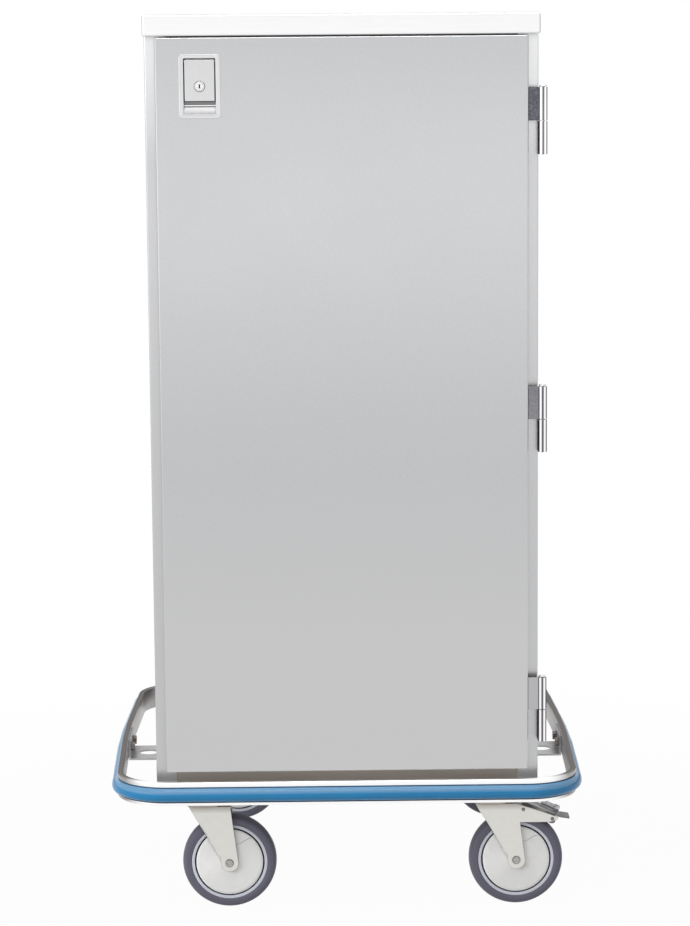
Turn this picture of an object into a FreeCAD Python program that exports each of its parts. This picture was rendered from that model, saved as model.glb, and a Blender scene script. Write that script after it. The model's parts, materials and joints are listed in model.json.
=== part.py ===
# Closed stainless case cart: cabinet with one hinged door and a paddle latch, a bumper ring all round
# its base, and four swivel casters of which two have a total-lock brake.
# Millimetres, +Z up, origin on the floor under the middle of the cart, door facing -Y.
import FreeCAD
import Part
import Sketcher
import os
import re

SIZES = {
    # cabinet shell
    "cab_width": 610.0,
    "cab_depth": 660.0,
    "cab_height": 1434.0,
    "sheet": 1.2,
    "base_lift": 190.5,
    "deck_height": 262.0,
    "stile_width": 32.5,
    "stile_return": 12.0,
    "side_lip": 20.0,
    "foot_lip": 26.0,
    "foot_lip_run": 240.0,
    "bend_radius": 2.2,
    "cap_height": 31.5,
    "cap_bend": 3.0,
    "cap_fit": 0.1,
    "header_drop": 26.0,
    "sill_recess": 2.0,
    "seat_fit": 0.1,
    "channel_width": 92.0,
    "channel_sheet": 2.5,
    # shelving
    "pilaster_width": 30.0,
    "pilaster_depth": 12.0,
    "pilaster_inset": 90.0,
    "slot_height": 12.0,
    "slot_width": 6.0,
    "slot_pitch": 50.0,
    "slot_first": 60.0,
    "shelf_edge": 25.0,
    "shelf_side_gap": 2.0,
    "shelf_front_gap": 36.0,
    "shelf_back_gap": 8.0,
    "shelf_low_rise": 358.0,
    "shelf_spacing": 370.0,
    "clip_length": 16.0,
    "clip_width": 20.0,
    "clip_height": 9.0,
    # door
    "door_side_gap": 17.0,
    "door_low": 242.0,
    "door_top_gap": 2.9,
    "door_stand": 22.0,
    "door_bend": 2.5,
    "gasket_thick": 3.0,
    "gasket_width": 12.0,
    "gasket_inset": 4.0,
    "seal_gap": 0.3,
    "liner_fit": 0.2,
    "liner_return": 12.0,
    # hinges
    "hinge_out": 5.6,
    "hinge_back": 7.0,
    "barrel_radius": 7.0,
    "hinge_pin_radius": 3.5,
    "pin_play": 0.05,
    "knuckle_length": 52.0,
    "knuckle_gap": 0.6,
    "leaf_thick": 3.0,
    "leaf_set": 2.8,
    "frame_leaf_reach": 26.0,
    "pin_head_radius": 5.5,
    "pin_head_height": 3.0,
    "pin_head_gap": 0.3,
    "hinge_low_rise": 96.0,
    "hinge_high_drop": 131.6,
    # paddle latch
    "latch_inset": 69.0,
    "latch_drop": 75.0,
    "bezel_width": 64.0,
    "bezel_height": 98.0,
    "bezel_thick": 2.0,
    "bezel_corner": 6.0,
    "bezel_edge": 0.8,
    "paddle_width": 46.0,
    "paddle_up": 41.0,
    "paddle_down": 22.5,
    "paddle_thick": 2.0,
    "paddle_gap": 1.6,
    "paddle_lip": 6.0,
    "paddle_pivot_down": 2.6,
    "paddle_pivot_back": 3.0,
    "paddle_barrel_radius": 2.6,
    "paddle_pin_radius": 1.3,
    "tray_depth": 16.0,
    "tray_wall": 1.5,
    "tray_low": 42.0,
    "ramp_top": 32.0,
    "lock_radius": 7.8,
    "lock_proud": 1.0,
    "lock_length": 14.0,
    "plug_radius": 5.6,
    "plug_proud": 0.6,
    "key_slot_width": 2.2,
    "key_slot_height": 6.8,
    "key_slot_depth": 5.0,
    "case_width": 60.0,
    "case_height": 86.0,
    "case_back": 26.0,
    "bolt_height": 20.0,
    "bolt_thick": 10.0,
    "bolt_length": 42.0,
    "bolt_back_gap": 2.0,
    "bolt_tip_gap": 2.0,
    "bolt_bevel": 8.0,
    "bolt_throw": 12.0,
    "bolt_fit": 0.3,
    # bumper ring
    "rail_top": 229.0,
    "rail_height": 37.0,
    "rail_reach": 9.0,
    "rail_sheet": 1.5,
    "rail_lip": 5.0,
    "ring_half_width": 359.0,
    "ring_bow": 9.0,
    "ring_flat": 60.0,
    "ring_end_gap": 31.5,
    "ring_corner": 75.0,
    "insert_proud": 9.5,
    "insert_round": 8.5,
    "insert_fit": 0.2,
    "bracket_thick": 3.0,
    "bracket_run": 92.0,
    "bracket_tuck": 24.0,
    "bracket_hole_radius": 17.0,
    "bracket_tab_height": 32.0,
    "bolt_radius": 4.0,
    "bolt_hole_radius": 4.2,
    "nut_radius": 7.5,
    "nut_height": 6.0,
    "tab_bolt_pitch": 48.0,
    "tab_bolt_rise": 16.0,
    "foot_bolt_pitch": 60.0,
    "foot_bolt_inset": 14.0,
    # casters
    "caster_side_inset": 72.5,
    "caster_end_inset": 59.0,
    "caster_offset": 41.0,
    "wheel_radius": 76.2,
    "tyre_width": 32.0,
    "tyre_shoulder": 9.0,
    "rim_radius": 61.0,
    "rim_width": 30.0,
    "rim_depth": 9.0,
    "hub_radius": 18.0,
    "hub_width": 32.0,
    "web_width": 9.0,
    "axle_radius": 6.0,
    "axle_head_radius": 6.8,
    "axle_head_height": 2.5,
    "bearing_play": 0.08,
    "guard_radius": 53.4,
    "guard_thick": 1.2,
    "guard_gap": 0.5,
    "guard_boss_radius": 12.0,
    "fork_inner_width": 40.0,
    "fork_sheet": 3.5,
    "fork_top": 170.5,
    "fork_lead": 66.6,
    "fork_trail": 2.0,
    "fork_lobe": 14.2,
    "fork_lobe_round": 13.6,
    "fork_round": 8.0,
    "fork_web": 4.5,
    "fork_web_low": 147.0,
    "swivel_gap": 0.3,
    "plate_length": 104.0,
    "plate_width": 86.0,
    "plate_thick": 5.0,
    "plate_bolt_length_pitch": 80.0,
    "plate_bolt_width_pitch": 60.0,
    "race_radius": 33.0,
    "king_radius": 7.0,
    "king_nut_radius": 12.0,
    "king_nut_height": 8.0,
    # total-lock brake, measured from the axle
    "arm_low": 62.7,
    "arm_start": 8.0,
    "arm_foot": 53.0,
    "arm_tip": 68.0,
    "arm_tip_rise": 67.0,
    "arm_tip_top": 70.5,
    "pivot_out": 58.5,
    "pivot_up": 68.0,
    "brake_pin_radius": 2.6,
    "brake_pin_proud": 1.2,
    "pedal_width": 26.0,
    "pedal_start": 16.0,
    "pedal_start_up": 97.0,
    "pedal_knee": 71.5,
    "pedal_knee_up": 71.0,
    "pedal_end": 87.0,
    "pedal_end_up": 68.5,
    "pedal_thick": 3.5,
    "pedal_lug_half": 6.0,
    "pedal_lug_low": 57.5,
    "pedal_lug_round": 5.0,
    "adjuster_radius": 4.8,
    "adjuster_start": 40.0,
    "adjuster_length": 22.0,
    "adjuster_nut_radius": 6.0,
    "adjuster_nut_length": 9.0,
    "adjuster_seat": 0.05,
    # how far a cutting solid reaches past the solid it cuts
    "overrun": 5.0,
}

doc = FreeCAD.newDocument("case_cart")
sheet = doc.addObject("Spreadsheet::Sheet", "sizes")
for row, (alias, value) in enumerate(SIZES.items(), 1):
    sheet.set(f"A{row}", alias)
    sheet.set(f"B{row}", str(value))
    sheet.setAlias(f"B{row}", alias)
doc.recompute()

TURNS = {
    "x": FreeCAD.Rotation(FreeCAD.Vector(0, 1, 0), 90),
    "y": FreeCAD.Rotation(FreeCAD.Vector(1, 0, 0), -90),
    "z": FreeCAD.Rotation(),
}
nodes = {}


# Helpers: every size is written as a formula of the names in the sheet

def bound(text):
    return re.sub(r"[a-z_]+", lambda m: "sizes." + m[0] if m[0] in SIZES else m[0], text)


def size(text):
    return float(sheet.evalExpression(bound(text)))


def tie(thing, prop, text):
    thing.setExpression(prop, bound(text))


def place(thing, x, y, z):
    for axis, text in zip("xyz", (x, y, z)):
        tie(thing, f"Placement.Base.{axis}", text)
    return thing


def box(name, x, y, z):
    thing = doc.addObject("Part::Box", name)
    for prop, (low, high) in zip(("Length", "Width", "Height"), (x, y, z)):
        tie(thing, prop, f"({high}) - ({low})")
    return place(thing, x[0], y[0], z[0])


def rod(name, axis, at, radius, length):
    thing = doc.addObject("Part::Cylinder", name)
    thing.Placement = FreeCAD.Placement(FreeCAD.Vector(), TURNS[axis])
    tie(thing, "Radius", radius)
    tie(thing, "Height", length)
    return place(thing, *at)


def hexagon(name, axis, at, radius, length):
    thing = doc.addObject("Part::Prism", name)
    thing.Polygon = 6
    thing.Placement = FreeCAD.Placement(FreeCAD.Vector(), TURNS[axis])
    tie(thing, "Circumradius", radius)
    tie(thing, "Height", length)
    return place(thing, *at)


def join(name, parts):
    thing = doc.addObject("Part::MultiFuse", name)
    thing.Shapes = parts
    thing.Refine = True
    return thing


def less(name, base, *tools):
    thing = doc.addObject("Part::Cut", name)
    thing.Base = base
    thing.Tool = tools[0] if len(tools) == 1 else join(name + "_tools", list(tools))
    thing.Refine = True
    return thing


def group(name, parts):
    thing = doc.addObject("Part::Compound", name)
    thing.Links = parts
    return thing


def copy_at(name, source, x, y, z, turn=0):
    thing = group(name, [source])
    thing.Placement = FreeCAD.Placement(FreeCAD.Vector(), FreeCAD.Rotation(turn, 0, 0))
    return place(thing, x, y, z)


def outline(body, name, role, at, points):
    """Closed outline of straight lines on one of the body's own planes, each corner tied to the sheet."""
    sketch = body.newObject("Sketcher::SketchObject", name)
    base = [item for item in body.Origin.OriginFeatures if item.Role == role][0]
    sketch.AttachmentSupport = [(base, "")]
    sketch.MapMode = "FlatFace"
    tie(sketch, "AttachmentOffset.Base.z", at)
    spots = [FreeCAD.Vector(size(u), size(v), 0) for u, v in points]
    count = len(spots)
    for i in range(count):
        sketch.addGeometry(Part.LineSegment(spots[i], spots[(i + 1) % count]), False)
    for i in range(count):
        sketch.addConstraint(Sketcher.Constraint("Coincident", i, 2, (i + 1) % count, 1))
    for i, (u, v) in enumerate(points):
        for kind, text, value in (("DistanceX", u, spots[i].x), ("DistanceY", v, spots[i].y)):
            k = sketch.addConstraint(Sketcher.Constraint(kind, -1, 1, i, 1, value))
            tie(sketch, f"Constraints[{k}]", text)
    return sketch


def slab(name, role, at, points, length):
    """Body padded from an outline: upwards from XY, towards -Y from XZ, towards +X from YZ."""
    body = doc.addObject("PartDesign::Body", name)
    pad = body.newObject("PartDesign::Pad", name + "_pad")
    pad.Profile = outline(body, name + "_outline", role, at, points)
    tie(pad, "Length", length)
    body.Tip = pad
    return body


def spun(name, points):
    """Body turned round the Y axis from an outline of (along, radius) corners."""
    body = doc.addObject("PartDesign::Body", name)
    sketch = outline(body, name + "_outline", "YZ_Plane", "0", points)
    turned = body.newObject("PartDesign::Revolution", name + "_turned")
    turned.Profile = sketch
    turned.ReferenceAxis = (sketch, ["H_Axis"])
    turned.Angle = 360
    body.Tip = turned
    return body


def soften(body, name, radius, wanted):
    """Rounds the body's edges that the given test picks."""
    doc.recompute()
    last = body.Tip
    picked = [f"Edge{i}" for i, edge in enumerate(last.Shape.Edges, 1) if wanted(edge)]
    if not picked:
        raise ValueError(f"no edge to round for {name}")
    rounded = body.newObject("PartDesign::Fillet", name)
    rounded.Base = (last, picked)
    tie(rounded, "Radius", radius)
    body.Tip = rounded
    return body


def heading(edge):
    return edge.tangentAt(edge.FirstParameter)


def middle(edge):
    return edge.valueAt((edge.FirstParameter + edge.LastParameter) / 2)


def close(a, b):
    return abs(a - b) < 0.01


def keep(node, thing):
    thing.Label = node
    nodes[node] = thing


# Shared places

HALF = "cab_width/2"
FRONT = "-cab_depth/2"
BACK = "cab_depth/2"
ROOF = "cab_height - sheet"
CAP_LOW = "cab_height - cap_height"
HEADER_LOW = f"{CAP_LOW} - header_drop"
DOOR_FACE = f"{FRONT} - door_stand"
DOOR_BACK = f"{FRONT} - gasket_thick - seal_gap"
DOOR_TOP = f"{CAP_LOW} - door_top_gap"
DOOR_HALF = f"({HALF} - door_side_gap)"
OPENING = f"{HALF} - stile_width"
LATCH_Z = f"({DOOR_TOP} - latch_drop)"
HINGE_LOW = "(door_low + hinge_low_rise)"
HINGE_HIGH = f"({DOOR_TOP} - hinge_high_drop)"
HINGE_MIDDLE = f"({HINGE_LOW} + {HINGE_HIGH})/2"
SHELF_LOW = "(deck_height + shelf_low_rise)"
SHELF_HIGH = f"({SHELF_LOW} + shelf_spacing)"


# Side panels: web, front stile with its return, rear lip and a short foot lip for the bumper bracket

def side_panel(node, sign):
    def x(inset):
        return f"{sign}({HALF} - ({inset}))"

    corners = [
        (x("0"), FRONT), (x("stile_width"), FRONT), (x("stile_width"), f"{FRONT} + stile_return"),
        (x("stile_width - sheet"), f"{FRONT} + stile_return"),
        (x("stile_width - sheet"), f"{FRONT} + sheet"), (x("sheet"), f"{FRONT} + sheet"),
        (x("sheet"), f"{BACK} - 2*sheet"), (x("side_lip"), f"{BACK} - 2*sheet"),
        (x("side_lip"), f"{BACK} - sheet"), (x("sheet"), f"{BACK} - sheet"), (x("sheet"), BACK),
        (x("0"), BACK),
    ]
    wall = slab(node + "_wall", "XY_Plane", "base_lift", corners, f"{ROOF} - base_lift")
    front = size(FRONT)
    soften(wall, node + "_bends", "bend_radius",
           lambda e: abs(heading(e).z) > 0.9 and close(middle(e).y, front))
    ends = [f"{sign}{HALF}", f"{sign}({HALF} - foot_lip)"]
    ends = ends if sign == "-" else ends[::-1]
    lip = box(node + "_lip", ends, ("-foot_lip_run/2", "foot_lip_run/2"), ("base_lift", "base_lift + sheet"))
    holes = [
        rod(f"{node}_hole_{k}", "z", (f"{sign}({HALF} - foot_bolt_inset)", f"{turn}foot_bolt_pitch/2",
                                      "base_lift - overrun"), "bolt_hole_radius", "2*overrun")
        for k, turn in enumerate(("-", "+"))
    ]
    keep(node, less(node, join(node + "_folded", [wall, lip]), *holes))


side_panel("side_panel_left", "-")
side_panel("side_panel_right", "+")

keep("back_panel", box("back_panel", (f"-({HALF} - sheet)", f"{HALF} - sheet"), (f"{BACK} - sheet", BACK),
                       ("base_lift", ROOF)))

# Top cap: an upside-down pan that drops over the side panels and reaches out over the door
CAP_SIDE = f"{HALF} + cap_fit + sheet"
CAP_BACK = f"{BACK} + cap_fit + sheet"
cap_block = slab("cap_block", "XY_Plane", CAP_LOW,
                 [(f"-({CAP_SIDE})", DOOR_FACE), (CAP_SIDE, DOOR_FACE), (CAP_SIDE, CAP_BACK),
                  (f"-({CAP_SIDE})", CAP_BACK)], "cap_height")
cap_top = size("cab_height")
soften(cap_block, "cap_bends", "cap_bend", lambda e: abs(heading(e).z) > 0.9 or close(middle(e).z, cap_top))
cap_hollow = box("cap_hollow", (f"-({HALF} + cap_fit)", f"{HALF} + cap_fit"),
                 (f"{DOOR_FACE} + sheet", f"{BACK} + cap_fit"), (f"{CAP_LOW} - overrun", ROOF))
keep("top_cap", less("top_cap", cap_block, cap_hollow))

# Header behind the top of the door
keep("front_header", join("front_header", [
    box("header_face", (f"-({OPENING})", OPENING), (FRONT, f"{FRONT} + sheet"), (HEADER_LOW, ROOF)),
    box("header_return", (f"-({OPENING})", OPENING), (FRONT, f"{FRONT} + stile_return"),
        (HEADER_LOW, f"{HEADER_LOW} + sheet")),
]))

# Floor pan with the sill that shows below the door
SILL = f"{FRONT} + sill_recess"
keep("floor_pan", join("floor_pan", [
    box("floor_deck", (f"-({HALF} - sheet)", f"{HALF} - sheet"),
        (f"{FRONT} + stile_return + seat_fit", f"{BACK} - 2*sheet"), ("deck_height - sheet", "deck_height")),
    box("floor_tongue", (f"-({OPENING} - seat_fit)", f"{OPENING} - seat_fit"),
        (SILL, f"{FRONT} + stile_return + seat_fit"), ("deck_height - sheet", "deck_height")),
    box("floor_sill", (f"-({OPENING} - seat_fit)", f"{OPENING} - seat_fit"), (SILL, f"{SILL} + sheet"),
        ("base_lift", "deck_height")),
]))

# Base channels under the floor, one over each pair of casters
CASTER_X = f"{HALF} - caster_side_inset"
CASTER_Y = f"{BACK} - caster_end_inset"
caster_spots = {
    "front_left": (f"-({CASTER_X})", f"-({CASTER_Y})"),
    "front_right": (CASTER_X, f"-({CASTER_Y})"),
    "rear_left": (f"-({CASTER_X})", CASTER_Y),
    "rear_right": (CASTER_X, CASTER_Y),
}
plate_bolts = [(f"{a}plate_bolt_length_pitch/2", f"{b}plate_bolt_width_pitch/2") for a in "-+" for b in "-+"]


def base_channel(node, centre, casters):
    span = (f"-({HALF} - sheet)", f"{HALF} - sheet")
    near = f"{centre} - channel_width/2"
    far = f"{centre} + channel_width/2"
    tall = ("base_lift", "deck_height - sheet")
    trough = join(node + "_trough", [
        box(node + "_bed", span, (near, far), ("base_lift", "base_lift + channel_sheet")),
        box(node + "_near", span, (near, f"{near} + channel_sheet"), tall),
        box(node + "_far", span, (f"{far} - channel_sheet", far), tall),
    ])
    holes = []
    for caster in casters:
        for k, (u, v) in enumerate(plate_bolts):
            at = (f"{caster_spots[caster][0]} {u}", f"{caster_spots[caster][1]} {v}", "base_lift - overrun")
            holes.append(rod(f"{node}_{caster}_hole_{k}", "z", at, "bolt_hole_radius",
                             "channel_sheet + 2*overrun"))
    keep(node, less(node, trough, *holes))


base_channel("base_channel_front", f"-({CASTER_Y})", ("front_left", "front_right"))
base_channel("base_channel_rear", CASTER_Y, ("rear_left", "rear_right"))

# Slotted pilasters, shelf clips and shelves
pilaster_tall = f"{HEADER_LOW} - deck_height"
pilaster_bar = less(
    "pilaster_bar",
    box("pilaster_block", ("0", "pilaster_depth"), ("-pilaster_width/2", "pilaster_width/2"),
        ("0", pilaster_tall)),
    box("pilaster_hollow", ("-overrun", "pilaster_depth - sheet"),
        ("-pilaster_width/2 + sheet", "pilaster_width/2 - sheet"),
        ("-overrun", f"{pilaster_tall} + overrun")))
slot_count = 1 + int(size(f"({pilaster_tall} - 2*slot_first)/slot_pitch"))
slots = [
    box(f"pilaster_slot_{k}", ("pilaster_depth - sheet - overrun", "pilaster_depth + overrun"),
        ("-slot_width/2", "slot_width/2"),
        (f"slot_first + {k}*slot_pitch", f"slot_first + {k}*slot_pitch + slot_height"))
    for k in range(slot_count)
]
pilaster = less("pilaster", pilaster_bar, *slots)
PILASTER_Y = f"{BACK} - pilaster_inset"
shelf_posts = []
clips = []
for k, (sx, sy, turn) in enumerate((("-", "-", 0), ("-", "+", 0), ("+", "-", 180), ("+", "+", 180))):
    shelf_posts.append(copy_at(f"pilaster_{k}", pilaster, f"{sx}({HALF} - sheet)", f"{sy}({PILASTER_Y})",
                               "deck_height", turn))
    outer = f"{sx}({HALF} - sheet - pilaster_depth)"
    inner = f"{sx}({HALF} - sheet - pilaster_depth - clip_length)"
    for shelf, level in (("lower", SHELF_LOW), ("upper", SHELF_HIGH)):
        clips.append(box(f"clip_{k}_{shelf}", (outer, inner) if sx == "-" else (inner, outer),
                         (f"{sy}({PILASTER_Y}) - clip_width/2", f"{sy}({PILASTER_Y}) + clip_width/2"),
                         (f"{level} - shelf_edge - clip_height", f"{level} - shelf_edge")))
keep("shelf_pilasters", group("shelf_pilasters", shelf_posts))
keep("shelf_clips", group("shelf_clips", clips))
SHELF_HALF = f"{HALF} - sheet - pilaster_depth - shelf_side_gap"
SHELF_FRONT = f"{FRONT} + shelf_front_gap"
SHELF_BACK = f"{BACK} - 2*sheet - shelf_back_gap"
for node, level in (("shelf_lower", SHELF_LOW), ("shelf_upper", SHELF_HIGH)):
    tray = box(node + "_block", (f"-({SHELF_HALF})", SHELF_HALF), (SHELF_FRONT, SHELF_BACK),
               (f"{level} - shelf_edge", level))
    hollow = box(node + "_hollow", (f"-({SHELF_HALF} - sheet)", f"{SHELF_HALF} - sheet"),
                 (f"{SHELF_FRONT} + sheet", f"{SHELF_BACK} - sheet"),
                 (f"{level} - shelf_edge - overrun", f"{level} - sheet"))
    keep(node, less(node, tray, hollow))

# Door: outer pan, liner and gasket
LATCH_X = f"-({DOOR_HALF} - latch_inset)"
TRAY_HALF = "paddle_width/2 + paddle_gap"
TRAY_HIGH = "paddle_up + paddle_gap"
door_block = slab("door_block", "XZ_Plane", f"-({DOOR_BACK})",
                  [(f"-{DOOR_HALF}", "door_low"), (DOOR_HALF, "door_low"), (DOOR_HALF, DOOR_TOP),
                   (f"-{DOOR_HALF}", DOOR_TOP)], f"({DOOR_BACK}) - ({DOOR_FACE})")
door_face = size(DOOR_FACE)
soften(door_block, "door_bends", "door_bend",
       lambda e: abs(heading(e).y) > 0.9 or close(middle(e).y, door_face))
door_hollow = box("door_hollow", (f"-({DOOR_HALF} - sheet)", f"{DOOR_HALF} - sheet"),
                  (f"{DOOR_FACE} + sheet", f"{DOOR_BACK} + overrun"),
                  ("door_low + sheet", f"{DOOR_TOP} - sheet"))
WINDOW_FIT = "tray_wall + seat_fit"
latch_window = box("latch_window",
                   (f"{LATCH_X} - ({TRAY_HALF} + {WINDOW_FIT})", f"{LATCH_X} + {TRAY_HALF} + {WINDOW_FIT}"),
                   (f"{DOOR_FACE} - overrun", f"{DOOR_FACE} + overrun"),
                   (f"{LATCH_Z} - (tray_low + {WINDOW_FIT})", f"{LATCH_Z} + {TRAY_HIGH} + {WINDOW_FIT}"))
keep("door_outer_pan", less("door_outer_pan", door_block, door_hollow, latch_window))

LINER_HALF = f"{DOOR_HALF} - sheet - liner_fit"
LINER_LOW = "door_low + sheet + liner_fit"
LINER_HIGH = f"{DOOR_TOP} - sheet - liner_fit"
liner_block = box("liner_block", (f"-({LINER_HALF})", LINER_HALF), (f"{DOOR_BACK} - liner_return", DOOR_BACK),
                  (LINER_LOW, LINER_HIGH))
liner_hollow = box("liner_hollow", (f"-({LINER_HALF} - sheet)", f"{LINER_HALF} - sheet"),
                   (f"{DOOR_BACK} - liner_return - overrun", f"{DOOR_BACK} - sheet"),
                   (f"{LINER_LOW} + sheet", f"{LINER_HIGH} - sheet"))
case_window = box("case_window",
                  (f"{LATCH_X} - case_width/2 - seat_fit", f"{LATCH_X} + case_width/2 + seat_fit"),
                  (f"{DOOR_BACK} - overrun", f"{DOOR_BACK} + overrun"),
                  (f"{LATCH_Z} - case_height/2 - seat_fit", f"{LATCH_Z} + case_height/2 + seat_fit"))
keep("door_liner", less("door_liner", liner_block, liner_hollow, case_window))

SEAL_HALF = f"{DOOR_HALF} - gasket_inset"
SEAL_LOW = "door_low + gasket_inset"
SEAL_HIGH = f"{DOOR_TOP} - gasket_inset"
keep("door_gasket", less(
    "door_gasket",
    box("gasket_block", (f"-({SEAL_HALF})", SEAL_HALF), (DOOR_BACK, f"{DOOR_BACK} + gasket_thick"),
        (SEAL_LOW, SEAL_HIGH)),
    box("gasket_hollow", (f"-({SEAL_HALF} - gasket_width)", f"{SEAL_HALF} - gasket_width"),
        (f"{DOOR_BACK} - overrun", f"{DOOR_BACK} + gasket_thick + overrun"),
        (f"{SEAL_LOW} + gasket_width", f"{SEAL_HIGH} - gasket_width"))))

# Three lift-off hinges: door leaf above, frame leaf below, pin through both
HINGE_X = f"{HALF} + hinge_out"
HINGE_Y = f"{DOOR_FACE} + hinge_back"
upper = ("knuckle_gap/2", "knuckle_length")
lower = ("-knuckle_length", "-knuckle_gap/2")
door_leaf = less(
    "door_leaf",
    join("door_leaf_blank", [
        rod("door_knuckle", "z", ("0", "0", upper[0]), "barrel_radius", f"{upper[1]} - {upper[0]}"),
        box("door_leaf_plate", ("-(hinge_out + door_side_gap)", "0"),
            ("-hinge_back + leaf_set", "-hinge_back + leaf_set + leaf_thick"), upper),
    ]),
    rod("door_knuckle_bore", "z", ("0", "0", "-overrun"), "hinge_pin_radius + pin_play",
        "knuckle_length + 2*overrun"))
frame_leaf = less(
    "frame_leaf",
    join("frame_leaf_blank", [
        rod("frame_knuckle", "z", ("0", "0", lower[0]), "barrel_radius", f"{lower[1]} - ({lower[0]})"),
        box("frame_leaf_plate", ("-hinge_out", "-hinge_out + leaf_thick"),
            ("0", "door_stand - hinge_back + frame_leaf_reach"), lower),
    ]),
    rod("frame_knuckle_bore", "z", ("0", "0", "-knuckle_length - overrun"), "hinge_pin_radius + pin_play",
        "knuckle_length + 2*overrun"))
hinge_pin = join("hinge_pin", [
    rod("hinge_pin_shank", "z", ("0", "0", "-knuckle_length"), "hinge_pin_radius",
        "2*knuckle_length + pin_head_gap + pin_head_height"),
    rod("hinge_pin_head", "z", ("0", "0", "knuckle_length + pin_head_gap"), "pin_head_radius",
        "pin_head_height"),
])
hinge_parts = {"hinge_door_leaves": door_leaf, "hinge_frame_leaves": frame_leaf, "hinge_pins": hinge_pin}
for node, source in hinge_parts.items():
    keep(node, group(node, [copy_at(f"{node}_{k}", source, HINGE_X, HINGE_Y, level)
                            for k, level in enumerate((HINGE_LOW, HINGE_MIDDLE, HINGE_HIGH))]))

# Paddle latch, drawn about the lock's centre on the door's face
LATCH_AT = (LATCH_X, DOOR_FACE, LATCH_Z)
bezel_block = slab("bezel_block", "XZ_Plane", "0",
                   [("-bezel_width/2", "-bezel_height/2"), ("bezel_width/2", "-bezel_height/2"),
                    ("bezel_width/2", "bezel_height/2"), ("-bezel_width/2", "bezel_height/2")], "bezel_thick")
soften(bezel_block, "bezel_corners", "bezel_corner", lambda e: abs(heading(e).y) > 0.9)
bezel_face = -size("bezel_thick")
soften(bezel_block, "bezel_edges", "bezel_edge", lambda e: close(middle(e).y, bezel_face))
tray_block = box("tray_block", (f"-({TRAY_HALF} + tray_wall)", f"{TRAY_HALF} + tray_wall"),
                 ("0", "tray_depth"), ("-tray_low - tray_wall", f"{TRAY_HIGH} + tray_wall"))
tray_hollow = slab("tray_hollow", "YZ_Plane", f"-({TRAY_HALF})",
                   [("-bezel_thick - overrun", TRAY_HIGH), ("-bezel_thick - overrun", "-tray_low"),
                    ("-bezel_thick", "-tray_low"), ("tray_depth - tray_wall", "-ramp_top"),
                    ("tray_depth - tray_wall", TRAY_HIGH)], f"2*({TRAY_HALF})")
latch_bezel = less("latch_bezel_drawn", join("latch_bezel_blank", [bezel_block, tray_block]), tray_hollow)
keep("latch_bezel", copy_at("latch_bezel", latch_bezel, *LATCH_AT))

PIVOT_Y = "-bezel_thick + paddle_pivot_back"
PIVOT_Z = "paddle_up - paddle_pivot_down"
paddle_skin = ("-bezel_thick", "-bezel_thick + paddle_thick")
paddle_blank = join("paddle_blank", [
    box("paddle_plate", ("-paddle_width/2", "paddle_width/2"), paddle_skin, ("-paddle_down", "paddle_up")),
    box("paddle_lip_plate", ("-paddle_width/2", "paddle_width/2"),
        ("-bezel_thick", "-bezel_thick + paddle_lip"), ("-paddle_down", "-paddle_down + paddle_thick")),
    rod("paddle_barrel", "x", ("-paddle_width/2", PIVOT_Y, PIVOT_Z), "paddle_barrel_radius", "paddle_width"),
])
latch_paddle = less(
    "latch_paddle_drawn", paddle_blank,
    rod("paddle_bore", "x", ("-paddle_width/2 - overrun", PIVOT_Y, PIVOT_Z), "paddle_pin_radius + pin_play",
        "paddle_width + 2*overrun"),
    rod("paddle_lock_hole", "y", ("0", "-bezel_thick - overrun", "0"), "lock_radius + pin_play",
        "paddle_thick + 2*overrun"))
keep("latch_paddle", copy_at("latch_paddle", latch_paddle, *LATCH_AT))
pin_at = (f"{LATCH_X} - ({TRAY_HALF})", f"{DOOR_FACE} + {PIVOT_Y}", f"{LATCH_Z} + {PIVOT_Z}")
keep("paddle_pin", rod("paddle_pin", "x", pin_at, "paddle_pin_radius", f"2*({TRAY_HALF})"))

LOCK_FACE = "-bezel_thick - lock_proud"
lock_cylinder = less(
    "lock_cylinder_drawn",
    rod("lock_shell", "y", ("0", LOCK_FACE, "0"), "lock_radius", "lock_length"),
    rod("lock_bore", "y", ("0", f"{LOCK_FACE} - overrun", "0"), "plug_radius + pin_play",
        "lock_length + 2*overrun"))
keep("lock_cylinder", copy_at("lock_cylinder", lock_cylinder, *LATCH_AT))
lock_plug = less(
    "lock_plug_drawn",
    rod("lock_plug_rod", "y", ("0", f"{LOCK_FACE} - plug_proud", "0"), "plug_radius",
        "lock_length + plug_proud"),
    box("key_slot", ("-key_slot_width/2", "key_slot_width/2"),
        (f"{LOCK_FACE} - plug_proud - overrun", f"{LOCK_FACE} - plug_proud + key_slot_depth"),
        ("-key_slot_height/2", "key_slot_height/2")))
keep("lock_plug", copy_at("lock_plug", lock_plug, *LATCH_AT))

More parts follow.
